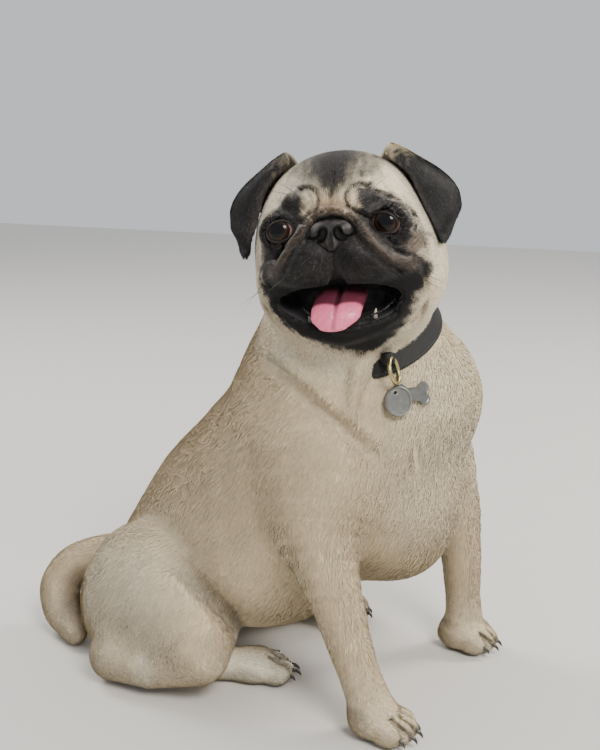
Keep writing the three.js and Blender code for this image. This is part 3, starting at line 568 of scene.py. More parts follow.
def body_colour(p):
    x, y, z = p.T
    side = np.abs(x)
    back = smooth(60, 110, y + 0.35 * (z - 100)) * smooth(85, 30, side)
    haunch = smooth(70, 20, distance(y - 190, z - 70)) * smooth(40, 80, side)
    colour = layered(
        FAWN, (FAWN_DEEP, 0.55 * back * smooth(40, 120, z)),
        (CREAM, 0.55 * smooth(30, -10, y) * smooth(90, 150, z)), (CREAM, 0.6 * haunch),
        (CREAM, 0.35 * smooth(60, 10, z) * smooth(40, 60, side)))
    colour = colour * (1 + 0.05 * wave(p, 28, 11) + 0.025 * wave(p, 9, 12))[:, None]
    # Darker along the front paws' bottom edge by the floor, mixed in below together with painted shade in the
    # gaps between the toes
    sole = smooth(7, 2, z) * smooth(36, 44, side) * smooth(70, 60, np.abs(y - 60))
    hind_toes = smooth(30, 20, z) * (np.hypot(x + 42, y - 116) < 34)
    # Painted shade in the crease where the thigh meets the belly
    hip = np.maximum(np.abs(torso_field(p)), np.abs(np.minimum(hind_right(p), hind_left(p))))
    # Painted shade in the chest, neck and thigh folds
    fold_shade = (0.6 * smooth(1.6, 0.2, chest_fold(p)) + 0.16 * smooth(5, 0.5, neck_fold(p))
             + 0.6 * smooth(5, 0.5, thigh_fold(one_side(p))))
    hock = smooth(1, 0.3, distance((x + 111) / 16, (y - 173) / 12, (z - 22) / 28))
    # Painted shade inside the tail's curl
    tail_curl_shade = smooth(14, 4, distance(y - 275, z - 38) - 8) * (y > 256)
    return layered(
        colour, (CREAM, hind_toes), (BLACK_AND_SHADE * 1.6, 0.7 * np.maximum(toe_shade(p), 0.6 * sole)),
        (BLACK_AND_SHADE * 2, 0.6 * smooth(8, 1.5, hip) * smooth(90, 110, y) * smooth(105, 70, z)), (BLACK_AND_SHADE * 2, fold_shade),
        (CREAM * 1.08, 0.8 * hock), (GREY_BROWN * 1.3, 0.6 * tail_curl_shade))


def coat_colour(p, *_):
    q = to_head(p)
    return between(body_colour(p), head_colour(q), on_head(q))


# Meshing
def lines(*stretches):
    """Grid lines through stretches of (from, to, step)."""
    parts = [np.linspace(a, b, max(2, round((b - a) / step) + 1))[:-1] for a, b, step in stretches]
    return np.concatenate([*parts, [stretches[-1][1]]]).astype(np.float32)


def grid_points(grids, index):
    return np.column_stack([grid[i] for grid, i in zip(grids, index)])


def corners_of(values):
    """The values at the eight corners of each cell of a grid."""
    a, b, c = (n - 1 for n in values.shape)
    return [values[i:a + i, j:b + j, k:c + k] for i in (0, 1) for j in (0, 1) for k in (0, 1)]


def sampled(field, grids):
    """The field's values on a grid, worked out only in the blocks that its surface may cross."""
    block, chunk = 4, 400000
    size = [len(grid) for grid in grids]
    picks = [np.unique(np.append(np.arange(0, n, block), n - 1)) for n in size]
    where = np.meshgrid(*picks, indexing="ij")
    coarse = field(grid_points(grids, [w.ravel() for w in where])).reshape(where[0].shape)
    wide = [float(np.diff(grid[pick]).max()) for grid, pick in zip(grids, picks)]
    reach = 1.2 * distance(*wide) / 1.3
    corners = corners_of(coarse)
    crossed = (np.minimum.reduce(corners) < reach) & (np.maximum.reduce(corners) > -reach)
    owner = np.ix_(*[np.minimum(np.arange(n) // block, len(pick) - 2) for n, pick in zip(size, picks)])
    value = np.where(corners[0] < 0, -30, 30).astype(np.float32)[owner]
    index = np.nonzero(crossed[owner])
    for start in range(0, len(index[0]), chunk):
        part = tuple(i[start:start + chunk] for i in index)
        value[part] = field(grid_points(grids, part))
    for axis in range(3):
        for edge in (0, -1):
            view = np.moveaxis(value, axis, 0)
            view[edge] = np.maximum(view[edge], 0.1)
    return value


def slopes(field, points):
    """The field and its slope at points."""
    step = 0.15
    here = field(points)
    ahead = [field(points + way * step) - here for way in np.eye(3, dtype=np.float32)]
    return here, np.column_stack(ahead) / step


def surface(field, grids):
    """Points and four-cornered faces on the field's zero surface, one point in each cell it crosses."""
    value = sampled(field, grids)
    inside = value < 0
    corners = corners_of(inside)
    cells = np.logical_or.reduce(corners) & ~np.logical_and.reduce(corners)
    index = np.array(np.nonzero(cells))
    total = np.zeros((index.shape[1], 3), np.float32)
    crossings = np.zeros(index.shape[1], np.float32)
    for axis in range(3):
        for n in range(4):
            lo = index.copy()
            lo[(axis + 1) % 3] += n & 1
            lo[(axis + 2) % 3] += n >> 1
            hi = lo.copy()
            hi[axis] += 1
            a, b = value[tuple(lo)], value[tuple(hi)]
            hit = (a < 0) != (b < 0)
            share = np.where(hit, a / np.where(hit, a - b, 1), 0)[:, None]
            p, q = grid_points(grids, lo), grid_points(grids, hi)
            total += np.where(hit[:, None], p + (q - p) * share, 0)
            crossings += hit
    points = total / np.maximum(crossings, 1)[:, None]
    number = np.full(cells.shape, -1, np.int32)
    number[tuple(index)] = np.arange(index.shape[1])
    lo_wall, hi_wall = grid_points(grids, index), grid_points(grids, index + 1)
    margin = 0.03 * (hi_wall - lo_wall)
    for _ in range(2):
        f, slope = slopes(field, points)
        points = points - (f / np.maximum(dots(slope, slope), 0.3))[:, None] * slope
        points = np.clip(points, lo_wall + margin, hi_wall - margin).astype(np.float32)
    faces = []
    for axis in range(3):
        order = (axis, (axis + 1) % 3, (axis + 2) % 3)
        first, cell = np.moveaxis(inside, order, (0, 1, 2)), np.moveaxis(number, order, (0, 1, 2))
        below, above = first[:-1, 1:-1, 1:-1], first[1:, 1:-1, 1:-1]
        i, j, k = np.nonzero(below != above)
        quad = np.column_stack([cell[i, j, k], cell[i, j + 1, k], cell[i, j + 1, k + 1], cell[i, j, k + 1]])
        faces.append(np.where(below[i, j, k][:, None], quad, quad[:, ::-1]))
    return points, np.concatenate(faces)


def metres(points):
    return (np.asarray(points, np.float32) - CENTRE) / 1000


def mesh_of(name, points, faces, smooth=True):
    """A Blender mesh of faces that all have as many corners, with its points given in metres."""
    faces = np.asarray(faces, np.int32)
    mesh = bpy.data.meshes.new(name)
    mesh.vertices.add(len(points))
    mesh.vertices.foreach_set("co", np.asarray(points, np.float32).ravel())
    mesh.loops.add(faces.size)
    mesh.loops.foreach_set("vertex_index", faces.ravel())
    mesh.polygons.add(len(faces))
    mesh.polygons.foreach_set("loop_start", np.arange(0, faces.size, faces.shape[1], dtype=np.int32))
    mesh.polygons.foreach_set("use_smooth", np.full(len(faces), smooth))
    mesh.update(calc_edges=True)
    mesh.validate()
    return mesh


def in_scene(name, data):
    obj = bpy.data.objects.new(name, data)
    bpy.context.scene.collection.objects.link(obj)
    return obj


def piece(name, pts, faces, material, slot, *nodes, smooth_faces=True, **paints):
    """A visible piece of points in millimetres and values painted on them, in the named nodes' place."""
    mesh = mesh_of(name, metres(pts), faces, smooth_faces)
    mesh.materials.append(material)
    for key, values in paints.items():
        paint(mesh, key, np.asarray(values, np.float32))
    obj = in_scene(name, mesh)
    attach(obj, "root")
    if nodes:
        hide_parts(*nodes)
    return mesh


def paint(mesh, name, values):
    """Stores a tint (n, 3), vectors (n, 3) or numbers (n,) on a mesh's points."""
    if name == "tint":
        values = np.column_stack([values, np.ones(len(values), np.float32)])
        mesh.color_attributes.new(name, "FLOAT_COLOR", "POINT").data.foreach_set("color", values.ravel())
    elif values.ndim == 1:
        mesh.attributes.new(name, "FLOAT", "POINT").data.foreach_set("value", values)
    else:
        mesh.attributes.new(name, "FLOAT_VECTOR", "POINT").data.foreach_set("vector", values.ravel())


def tube_quads(count, sides):
    i, j = np.meshgrid(np.arange(count), np.arange(sides), indexing="ij")
    i, j = i.ravel(), j.ravel()
    k, m = (i + 1) % count, (j + 1) % sides
    return np.column_stack([i * sides + j, i * sides + m, k * sides + m, k * sides + j])


def circle(steps):
    return np.arange(steps) / steps * 2 * np.pi


def unit(v):
    return v / np.linalg.norm(v, axis=-1, keepdims=True)


def tube(at, radius, first, second, sides):
    """Rings round places, each in the plane of its two directions, and the quads of the closed tube."""
    turn = circle(sides)[None, :, None]
    rings = at[:, None] + radius[:, None] * (np.cos(turn) * first[:, None] + np.sin(turn) * second[:, None])
    return rings.reshape(-1, 3), tube_quads(len(at), sides)


# Materials
def give(socket, value):
    """A constant for an input, or a link to it from an output."""
    if isinstance(value, bpy.types.NodeSocket):
        socket.id_data.links.new(value, socket)
    else:
        socket.default_value = value


def add_node(material, kind, inputs, **settings):
    node = material.node_tree.nodes.new("ShaderNode" + kind)
    for key, value in settings.items():
        setattr(node, key, value)
    for key, value in inputs.items():
        give(node.inputs[key], value)
    return node


def new_material(name, **inputs):
    """A material with constants for its shader's inputs."""
    material = bpy.data.materials.new(name)
    material.use_nodes = True
    for key, value in inputs.items():
        give(shader_input(material, key.replace("_", " ")), value)
    return material


def shader_input(material, name="Base Color"):
    return material.node_tree.nodes["Principled BSDF"].inputs[name]


def attribute(material, name, socket="Color"):
    return add_node(material, "Attribute", {}, attribute_name=name).outputs[socket]


def texture(material, kind, scale, **inputs):
    """A noise or Voronoi texture over the object's own coordinates."""
    place = add_node(material, "TexCoord", {}).outputs["Object"]
    return add_node(material, "Tex" + kind, {"Scale": scale, "Vector": place, **inputs}).outputs[0]


def add_bump(material, height, strength, distance):
    bump = add_node(material, "Bump", {"Strength": strength, "Distance": distance, "Height": height})
    give(shader_input(material, "Normal"), bump.outputs["Normal"])


def colour_between(material, share, first, second):
    mix = add_node(material, "Mix", {"Factor": share, "A": first, "B": second}, data_type="RGBA")
    give(shader_input(material), mix.outputs["Result"])


def tinted(name, kind, scale, strength, distance, detail, **inputs):
    """A material in its mesh's own colours, with the bump of a fine texture."""
    material = new_material(name, **inputs)
    give(shader_input(material), attribute(material, "tint"))
    add_bump(material, texture(material, kind, scale, Detail=detail), strength, distance)
    return material


def mottled(name, scale, dark, pale, detail=2.0, **inputs):
    """A material between two colours, in the spots of a noise."""
    material = new_material(name, **inputs)
    colour_between(material, texture(material, "Noise", scale, Detail=detail), (*dark, 1), (*pale, 1))
    return material


# Skin: the coat's surface, sunk by the depth of the fur
def fur_depth(p):
    depth = 1.9 - 0.3 * on_head(to_head(p)) - 0.6 * on_face(p, 46, 20)
    return (depth - (depth - 0.9) * low_on_legs(p, 60, 22)).astype(np.float32)


def skin_field(p):
    return coat_field(p) + fur_depth(p)


SKIN_GRIDS = [
    lines((-118, -96, CELL_BODY / 1.4), (-96, 24, CELL), (24, 60, CELL_BODY), (60, 98, CELL * 1.3),
          (98, 118, CELL_BODY)),
    lines((-36, 108, CELL), (108, 240, CELL_BODY), (240, 322, CELL_BODY)),
    lines((-3, 26, CELL), (26, 236, CELL_BODY), (236, 380, CELL)),
]
points, faces = surface(skin_field, SKIN_GRIDS)
points[:, 2] = np.maximum(points[:, 2], 0)
undercoat = tinted("undercoat", "Noise", 900, 0.35, 0.0006, 4.0, Roughness=0.75, Sheen_Weight=0.1,
                   Sheen_Roughness=0.5)
skin_mesh = piece(
    "skin", points, faces, undercoat, "coat", "head", "lower_jaw", "neck", "torso", "foreleg_right",
    "fore_paw_right", "foreleg_left", "fore_paw_left", "thigh_right", "hind_foot_right", "thigh_left",
    "hind_foot_left", "tail_base", "tail_curl", tint=coat_colour(points))


# Nose, in the head's frame, with its nostrils
def head_piece(name, field, box, cell, material, slot, nodes=(), colour=None):
    """A piece on a field's surface within a box, in the head's frame."""
    pts, quads = surface(field, [lines((low, high, cell)) for low, high in box])
    paints = {"tint": colour(pts)} if colour else {}
    piece(name, from_head(pts), quads, material, slot, *nodes, **paints)


def nose_colour(q):
    """Dark grey, with painted shade: black in the nostrils and along the middle line."""
    hollow_shade = np.maximum(smooth(1.9, 0.5, nostril(one_side(q))), 0.8 * smooth(1.1, 0.1, nose_line(q)))
    grey = between(linear(40, 36, 36), linear(72, 67, 66), smooth(-0.6, 1, wave(q, 5, 51)))
    return between(grey, linear(4, 3, 3), hollow_shade)


nose_skin = tinted("nose_skin", "Voronoi", 1100, 0.6, 0.0005, 0.0, Roughness=0.5, Specular_IOR_Level=0.25,
                   Coat_Weight=0.05, Coat_Roughness=0.25)
head_piece("nose_pad", nose_field, [(-14, 14), (-20, 0), (-15, 7)], 0.45 * FINE, nose_skin, "nose_skin",
           ["nose"], nose_colour)

# Tongue: broad and rounded at its tip, with a groove along its middle
tongue_body = curve([[1, 34, -39, 5.2], [0.6, 18, -41.6, 5.2], [0, 7, -44.8, 5.2], [-1.4, -1.5, -50, 5.1],
                     [-2.4, -6, -55.4, 4.9], [-3.6, -8.6, -60.6, 2.9]], 18, 3.1)
tongue_groove = curve([[0.8, 24, -35, 1], [0.6, 9, -39.6, 1.2], [-1, -5.6, -46.4, 1],
                       [-2.4, -11.6, -54.4, 0.7], [-3.8, -12.6, -64, 1.4]], 12)


def tongue_field(q):
    return carve(tongue_body(q), tongue_groove(q), 2.4)


def tongue_colour(q):
    # Painted shadow: the back of the tongue, under the upper lip, darker than its front, the edge rising in
    # two lobes; painted shade along the groove
    shadow_edge_lobes = 3 * np.sqrt(np.clip(1 - ((np.abs(q[:, 0] + 1.6) - 7.5) / 8) ** 2, 0, 1))
    back = smooth(-50.6, -48.6, q[:, 2] - shadow_edge_lobes)
    groove = smooth(1.3, 0.2, tongue_groove(q))[:, None]
    colour = between(linear(229, 114, 144), linear(94, 42, 57), back)
    return colour * (1 + 0.06 * wave(q, 4, 41))[:, None] * (1 - 0.55 * groove)


tongue_skin = tinted("tongue_skin", "Voronoi", 900, 0.35, 0.0005, 0.0, Roughness=0.38, Subsurface_Weight=0.25,
                     Subsurface_Scale=0.003, Coat_Weight=0.3, Coat_Roughness=0.18)
head_piece("tongue_soft", tongue_field, [(-24, 24), (-16, 42), (-67, -31)], 0.8 * FINE, tongue_skin,
           "tongue_skin", ["tongue"], tongue_colour)

# Eyes: the colours follow the way each eye looks, both in one material
VIEW_IN_HEAD = np.array([0.8645, 0.4592, -0.2036]) @ HEAD_AXES


def eye_piece(name, side, outward, node):
    rings, steps = 64 // FINE, 96 // FINE
    gaze = unit(-VIEW_IN_HEAD + np.array([outward * side, 0, -0.04]))
    across = unit(np.cross(gaze, [0, 0, 1]))
    axes = np.array([across, np.cross(across, gaze), gaze])
    a, b = np.meshgrid(np.linspace(0.001, np.pi - 0.001, rings), circle(steps), indexing="ij")
    local = np.stack([np.sin(a) * np.cos(b), np.sin(a) * np.sin(b), np.cos(a)], -1).reshape(-1, 3)
    bulge = 1 + 0.035 * smooth(0.62, 1, local[:, 2])
    pts = (local @ axes) * (EYE["radius"] * 0.985 * bulge)[:, None] + [EYE["x"] * side, EYE["y"], EYE["z"]]
    quads = tube_quads(rings, steps)[:(rings - 1) * steps, [1, 2, 3, 0]]
    shown = smooth(1.5, 0, lid_opening(pts.astype(np.float32)))
    piece(name, from_head(pts), quads, eye_gloss, "eye", node, gaze=local, open=shown)


eye_gloss = new_material("eye_gloss", Roughness=0.3, Specular_IOR_Level=0.0, Coat_Weight=1.0,
                         Coat_Roughness=0.012, Coat_IOR=1.3)
gaze = attribute(eye_gloss, "gaze", "Vector")
forward = add_node(eye_gloss, "SeparateXYZ", {0: gaze}).outputs["Z"]
tilt = add_node(eye_gloss, "Math", {0: forward}, operation="ARCCOSINE").outputs[0]
streaks = add_node(eye_gloss, "TexNoise", {"Scale": 9, "Detail": 4, "Vector": gaze}).outputs[0]
shifted = add_node(eye_gloss, "Math", {0: streaks, 1: 0.14, 2: tilt}, operation="MULTIPLY_ADD").outputs[0]
rings_ramp = add_node(eye_gloss, "ValToRGB", {0: shifted})
EYE_RINGS = [(0.0, (0.002, 0.002, 0.003)), (0.44, (0.003, 0.002, 0.003)), (0.52, (0.010, 0.006, 0.004)),
             (0.64, (0.030, 0.016, 0.009)), (0.74, (0.020, 0.011, 0.007)), (0.82, (0.005, 0.004, 0.004)),
             (0.90, (0.20, 0.115, 0.105))]
ramp = rings_ramp.color_ramp
while len(ramp.elements) < len(EYE_RINGS):
    ramp.elements.new(0.5)
for element, (place, colour) in zip(ramp.elements, EYE_RINGS):
    element.position = place
    element.color = (*colour, 1)
colour_between(eye_gloss, attribute(eye_gloss, "open", "Fac"), (0.003, 0.002, 0.002, 1),
               rings_ramp.outputs["Color"])
eye_piece("eyeball_right", -1, 0.36, "eye_right")
eye_piece("eyeball_left", 1, -0.26, "eye_left")


# Wet black rims round the lids' openings
LID_RIM = {"steps": 72, "ball": 11.1, "radius": 0.75, "sides": 10}


def lid_rim(side):
    """Places round an opening, on a ball just outside the eye, in the head's frame."""
    turn = circle(LID_RIM["steps"])
    x = np.cos(turn) * np.where(np.cos(turn) > 0, *LID_WIDE)
    z = np.sin(turn) * np.where(np.sin(turn) > 0, *LID_HIGH) - 0.1 * x
    x = x + lid_shift(side)
    y = -np.sqrt(LID_RIM["ball"] ** 2 - x ** 2 - z ** 2)
    return np.column_stack([side * (x + EYE["x"]), y + EYE["y"], z + EYE["z"]])


def ring_tube(at, radius, sides):
    """A closed tube round a closed line of places."""
    along = unit(np.roll(at, -1, 0) - np.roll(at, 1, 0))
    out = at - at.mean(0)
    out = unit(out - along * dots(out, along)[:, None])
    return tube(at, np.full((len(at), 1), radius), out, np.cross(along, out), sides)


lid_wet = mottled("lid_wet", 300, (0.004, 0.003, 0.003), (0.022, 0.018, 0.017), Roughness=0.55,
                  Specular_IOR_Level=0.3)
for side, name in ((-1, "lid_rim_right"), (1, "lid_rim_left")):
    rim_points, rim_quads = ring_tube(lid_rim(side), LID_RIM["radius"], LID_RIM["sides"])
    piece(name, from_head(rim_points), rim_quads[:, ::-side], lid_wet, "nose_skin")

# Teeth: small ones that the lower lip lets through
teeth_enamel = mottled("teeth_enamel", 260, (0.45, 0.40, 0.30), (0.62, 0.58, 0.48), Roughness=0.3,
                       Coat_Weight=0.4)
teeth = [limb([[x, y, z - 5, 1.4], [x * 1.02, y - 0.6, z - 1.8, 1], [x * 1.04, y - 0.8, z, 0.4]])
         for x, y, z in ((20.5, 6.5, -52), (-20, 9, -54))]
head_piece("canine_teeth", joined(teeth, 0.5), [(-25, 25), (2, 12), (-62, -48)], 0.5, teeth_enamel,
           "tongue_skin")


# Ears: a sheet from the skull up to the fold and down again to the tip
def on_curve(a, b, c, d, u):
    """Places at shares u between b and c, on the smooth curve through all four."""
    return 0.5 * (2 * b + (c - a) * u + (2 * a - 5 * b + 4 * c - d) * u ** 2
                  + (3 * b - a - 3 * c + d) * u ** 3)


def curve_at(points, t):
    """Points along a smooth curve at shares t of its length in stations."""
    p = np.array(points, float)
    p = np.vstack([2 * p[0] - p[1], p, 2 * p[-1] - p[-2]])
    place = np.clip(np.asarray(t, float), 0, 1) * (len(p) - 3)
    i = np.minimum(place.astype(int), len(p) - 4)
    return on_curve(p[i], p[i + 1], p[i + 2], p[i + 3], (place - i)[..., None])


EAR_INNER = [[30, 37, 44], [44, 32, 30], [52.5, 28, 8], [57, 25, -6], [59.5, 23.5, -13]]
EAR_OUTER = [[32, 41, 48], [46, 45, 39], [60, 49, 29], [69.5, 50, 18], [71.5, 47, 8], [67.5, 40, -1],
             [61.5, 27, -13.5]]
EAR_ROOT = [[26, 46, 40], [34, 58, 29], [42, 62, 16]]


def ear_place(s, t):
    """The middle of an ear's sheet in the head's frame, s from root to free edge and t from top to tip."""
    fold = curve_at(EAR_OUTER, t)
    edge = curve_at(EAR_INNER, t)
    root = curve_at(EAR_ROOT, np.minimum(t / 0.62, 1))
    shut = smooth(0.5, 0.66, t)[..., None]
    root = root + (fold + [-3, 3, 2] - root) * shut
    out = np.array([0.45, -0.8, 0.3])
    puff = (np.sin(np.pi * np.minimum(1, t * 1.1)) * 5.5 + 0.6)[..., None]
    wrinkle = (0.5 * np.sin(t * 17 + 2 * s) * np.sin(np.pi * t))[..., None]
    stations = [root, root + (fold - root) * 0.62 + [0, 2.5, 1.5], fold + [0.4, 0.6, 0.6],
                fold + (edge - fold) * 0.3 + out * puff, fold + (edge - fold) * 0.68 + out * puff * 0.95,
                edge]
    stations = np.stack([2 * stations[0] - stations[1], *stations, 2 * stations[-1] - stations[-2]])
    place = s * 5
    i = np.minimum(place.astype(int), 4)
    near = (np.take_along_axis(stations, (i + k)[None, ..., None], 0)[0] for k in range(4))
    return on_curve(*near, (place - i)[..., None]) + out * wrinkle


def ear_mesh(side):
    """Points, normals, quads and shares (s, t) of one ear, closed, in the head's frame."""
    ns, nt = ((84, 76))
    s, t = np.meshgrid(np.linspace(0, 1, ns), np.linspace(0, 1, nt), indexing="ij")
    middle = ear_place(s, t)
    normal = np.cross(np.gradient(middle, axis=1), np.gradient(middle, axis=0))
    normal /= np.maximum(np.linalg.norm(normal, axis=2, keepdims=True), 1e-6)
    rim = np.minimum.reduce([smooth(-0.03, 0.14, s), smooth(1.03, 0.93, s), smooth(1.02, 0.9, t),
                             smooth(-0.04, 0.1, t)])
    half = (0.35 + 1.15 * np.sqrt(rim))[..., None]
    pts = np.concatenate([(middle + normal * half).reshape(-1, 3), (middle - normal * half).reshape(-1, 3)])
    norms = np.concatenate([normal.reshape(-1, 3), -normal.reshape(-1, 3)])
    at = np.arange(ns * nt).reshape(ns, nt)
    a, b, c, d = at[:-1, :-1].ravel(), at[1:, :-1].ravel(), at[1:, 1:].ravel(), at[:-1, 1:].ravel()
    loop = np.concatenate([at[:, 0], at[-1, 1:], at[-2::-1, -1], at[0, -2:0:-1]])
    after = np.roll(loop, -1)
    quads = np.concatenate([np.column_stack([a, d, c, b]), np.column_stack([a, b, c, d]) + ns * nt,
                            np.column_stack([after, after + ns * nt, loop + ns * nt, loop])])
    shares = np.tile(np.column_stack([s.ravel(), t.ravel()]), (2, 1))
    if side < 0:
        pts, norms, quads = pts * [-1, 1, 1], norms * [-1, 1, 1], quads[:, ::-1]
    else:
        pts = pts + np.outer(smooth(30, -10, pts[:, 2]), [2, 0, 0])
    return pts.astype(np.float32), norms.astype(np.float32), quads, shares


def ear_tint(q, shares):
    """Black velvet, fawn where the ear leaves the head, with a painted highlight as a paler rim on the free
    edge.
    """
    s, t = shares.T
    fawn = smooth(0.22, 0.0, t + 0.10 * wave(q, 7, 31)) * smooth(0.7, 0.45, s)
    fawn = np.maximum(fawn, 0.5 * smooth(0.2, 0.05, s) * smooth(0.6, 0.2, t))
    fawn = np.maximum(fawn, 0.7 * smooth(0.12, 0.0, t + 0.08 * wave(q, 5, 32)))
    fawn = np.clip(fawn, 0, 1) * np.where(q[:, 0] < 0, 0.3, 1)
    # Painted highlight along the rim of the free edge
    rim = 0.12 * smooth(0.93, 0.985, s) * smooth(0.9, 0.5, t)
    return layered(EAR_SOOT, (BLACK_AND_SHADE, 0.4 + 0.4 * wave(q, 10, 33)), (FAWN * 0.85, fawn),
                   (GREY_BROWN * 1.5, rim))


ears = []
ear_velvet = tinted("ear_velvet", "Noise", 1500, 0.4, 0.0004, 3.0, Roughness=0.85, Sheen_Weight=0.08,
                    Sheen_Roughness=0.5)
for side, name in ((-1, "right"), (1, "left")):
    ear = ear_mesh(side)
    tint = ear_tint(ear[0], ear[3])
    piece(f"ear_sheet_{name}", from_head(ear[0]), ear[2], ear_velvet, "ear_coat", f"ear_{name}", tint=tint)
    ears.append((name, side, tint, *ear))


# Collar, ring and tags
COLLAR = {"low": 234, "tilt": 26, "width": 14, "out": 1.5, "thick": 3.3, "sunk_under_fold": 9}
COLLAR_LOW_SIDE, FOLD_MIDDLE, TAG_SIDE = np.radians([-85, -122, -44])
ROUND_EDGE = 0.35  # nearer to nothing is squarer
NECK_RADIUS = 70


def under_head(p):
    return blend(torso_field(p), nape(to_head(p)), 16)


def on_neck(angle, z, out):
    """Places out from the neck's surface at angles round it and heights."""
    angle, z, out = (np.ravel(v).astype(np.float32) for v in np.broadcast_arrays(angle, z, out))
    axis = np.column_stack([-8 * (z - 206) / 56, np.full_like(z, 65), z])
    way = np.column_stack([np.sin(angle), -np.cos(angle), np.zeros_like(z)])
    low, high = np.full(len(z), 20, np.float32), np.full(len(z), 110, np.float32)
    for _ in range(16):
        radius = (low + high) / 2
        within = under_head(axis + way * radius[:, None]) < 0
        low, high = np.where(within, radius, low), np.where(within, high, radius)
    return axis + way * (low + out)[:, None]


def strap(name, lift, width, thick, inset, material, *nodes):
    """A band round the neck, lift outwards and inset upwards, sunk where the fold of skin covers it."""
    steps, sides = 420, 16
    angle = circle(steps)
    z = COLLAR["low"] + COLLAR["tilt"] * (1 - np.cos(angle - COLLAR_LOW_SIDE)) + inset
    fold = smooth(0.30, 0.54, np.cos(angle - FOLD_MIDDLE))
    outer = COLLAR["out"] + lift + fold * (lift - COLLAR["sunk_under_fold"])
    turn = (np.arange(sides) + 0.5) / sides * 2 * np.pi
    across = np.sign(np.sin(turn)) * np.abs(np.sin(turn)) ** ROUND_EDGE * width / 2
    depth = np.sign(np.cos(turn)) * np.abs(np.cos(turn)) ** ROUND_EDGE * thick / 2 - thick / 2
    pts = on_neck(np.repeat(angle, sides), (z[:, None] + across).ravel(), (outer[:, None] + depth).ravel())
    around = np.repeat(angle * NECK_RADIUS, sides)
    weave = np.column_stack([around, np.tile(across, steps), 0 * around])
    piece(name, pts, tube_quads(steps, sides)[:, ::-1], material, "collar_strap", *nodes, weave=weave)


def woven(name, waves, dark, pale, strength, distance, direction="X", **inputs):
    """A material of threads, in waves along the strap and across it."""
    material = new_material(name, **inputs)
    along = {"Vector": attribute(material, "weave", "Vector"), **waves}
    threads = add_node(material, "TexWave", along, bands_direction=direction).outputs[0]
    colour_between(material, threads, (*dark, 1), (*pale, 1))
    add_bump(material, threads, strength, distance)
    return material


webbing = woven("webbing", {"Scale": 0.55, "Distortion": 0.4}, (0.003, 0.003, 0.003), (0.014, 0.013, 0.013),
                0.5, 0.0006, "DIAGONAL", Roughness=0.6, Specular_IOR_Level=0.3)
stitching = woven("stitching", {"Scale": 0.32}, (0.006, 0.006, 0.006), (0.03, 0.029, 0.028), 0.8, 0.0005,
                  Roughness=0.7)
strap("collar_webbing", 0, COLLAR["width"], COLLAR["thick"], 0, webbing, "collar")
for number, inset in enumerate((-4.9, 4.9)):
    strap(f"collar_stitches_{number}", 0.25, 0.8, 0.6, inset, stitching)

RING_RADIUS, RING_WIRE, RING_TURN = 8, 1.25, 48


def on_chest(angle, z, out):
    """A place on the coat with axes to the dog's left, up the coat and out of it."""
    at = on_neck([angle + 0.1, angle - 0.1, angle, angle, angle], [z, z, z + 6, z - 6, z], 0)
    left = unit(at[0] - at[1])
    outward = unit(np.cross(left, at[2] - at[3]))
    return at[4] + outward * out, np.column_stack([left, np.cross(outward, left), outward])


def torus(radius, wire, steps, sides, squash=1.0):
    a, b = np.meshgrid(circle(steps), circle(sides), indexing="ij")
    reach = radius + wire * np.cos(b)
    pts = np.stack([reach * np.cos(a), reach * np.sin(a), wire * np.sin(b) * squash], -1)
    return pts.reshape(-1, 3), tube_quads(steps, sides)


def worn_metal(name, dark, pale, roughness):
    metal = mottled(name, 260, dark, pale, 5.0, Metallic=1.0, Roughness=roughness)
    add_bump(metal, texture(metal, "Noise", 700, Detail=3.0), 0.15, 0.0003)
    return metal


brass = worn_metal("brass", (0.24, 0.20, 0.075), (0.62, 0.54, 0.26), 0.32)
steel = worn_metal("steel", (0.13, 0.13, 0.12), (0.32, 0.32, 0.30), 0.42)


ring_at, ring_axes = on_chest(TAG_SIDE, 234, 7)
ring_axes = ring_axes @ turned(0, RING_TURN, 0)
ring_points, ring_quads = torus(RING_RADIUS, RING_WIRE, 72, 16)
piece("ring_wire", ring_points @ ring_axes.T + ring_at, ring_quads, brass, "ring_metal", "collar_ring")


def turned_plate(profile, steps):
    """A solid of revolution about z through (radius, height) pairs of a closed section."""
    a = circle(steps)
    radius, height = np.array(profile, float).T
    out, over = np.outer(np.cos(a), radius), np.outer(np.sin(a), radius)
    pts = np.stack([out, over, np.tile(height, (steps, 1))], -1)
    return pts.reshape(-1, 3), tube_quads(steps, len(profile))


TAG_PROFILE = [[1.15, 0.35], [1.5, 0.5], [7.4, 0.42], [7.7, 0.6], [8.0, 1.15], [8.8, 1.25], [9.3, 0.8],
               [9.35, -0.4], [9.0, -0.7], [1.5, -0.7], [1.15, -0.5]]
tag_points, tag_quads = turned_plate(TAG_PROFILE, 72)
near_hole = np.linalg.norm(tag_points[:, :2], axis=1) < 1.6
tag_points[near_hole, :2] += [-1.6, 5.4]
tag_at, tag_axes = on_chest(TAG_SIDE, 217, 4)
piece("tag_disc", tag_points @ tag_axes.T + tag_at, tag_quads[:, ::-1], steel, "tag_metal", "tag_round",
      smooth_faces=False)


def bone_outline(count):
    """Places round a bone's outline, found along lines from its middle."""
    way = np.column_stack([np.cos(circle(count)), np.sin(circle(count))])
    low, high = np.zeros(count), np.full(count, 20.0)
    for _ in range(24):
        middle = (low + high) / 2
        x, y = (way * middle[:, None]).T
        lobes = [np.hypot(x - side, y - end) - 3.9 for side in (-8.5, 8.5) for end in (-3.6, 3.6)]
        within = np.minimum.reduce([*lobes, np.maximum(np.abs(x) - 9, np.abs(y) - 4.4)]) < 0
        low, high = np.where(within, middle, low), np.where(within, high, middle)
    return way * low[:, None]


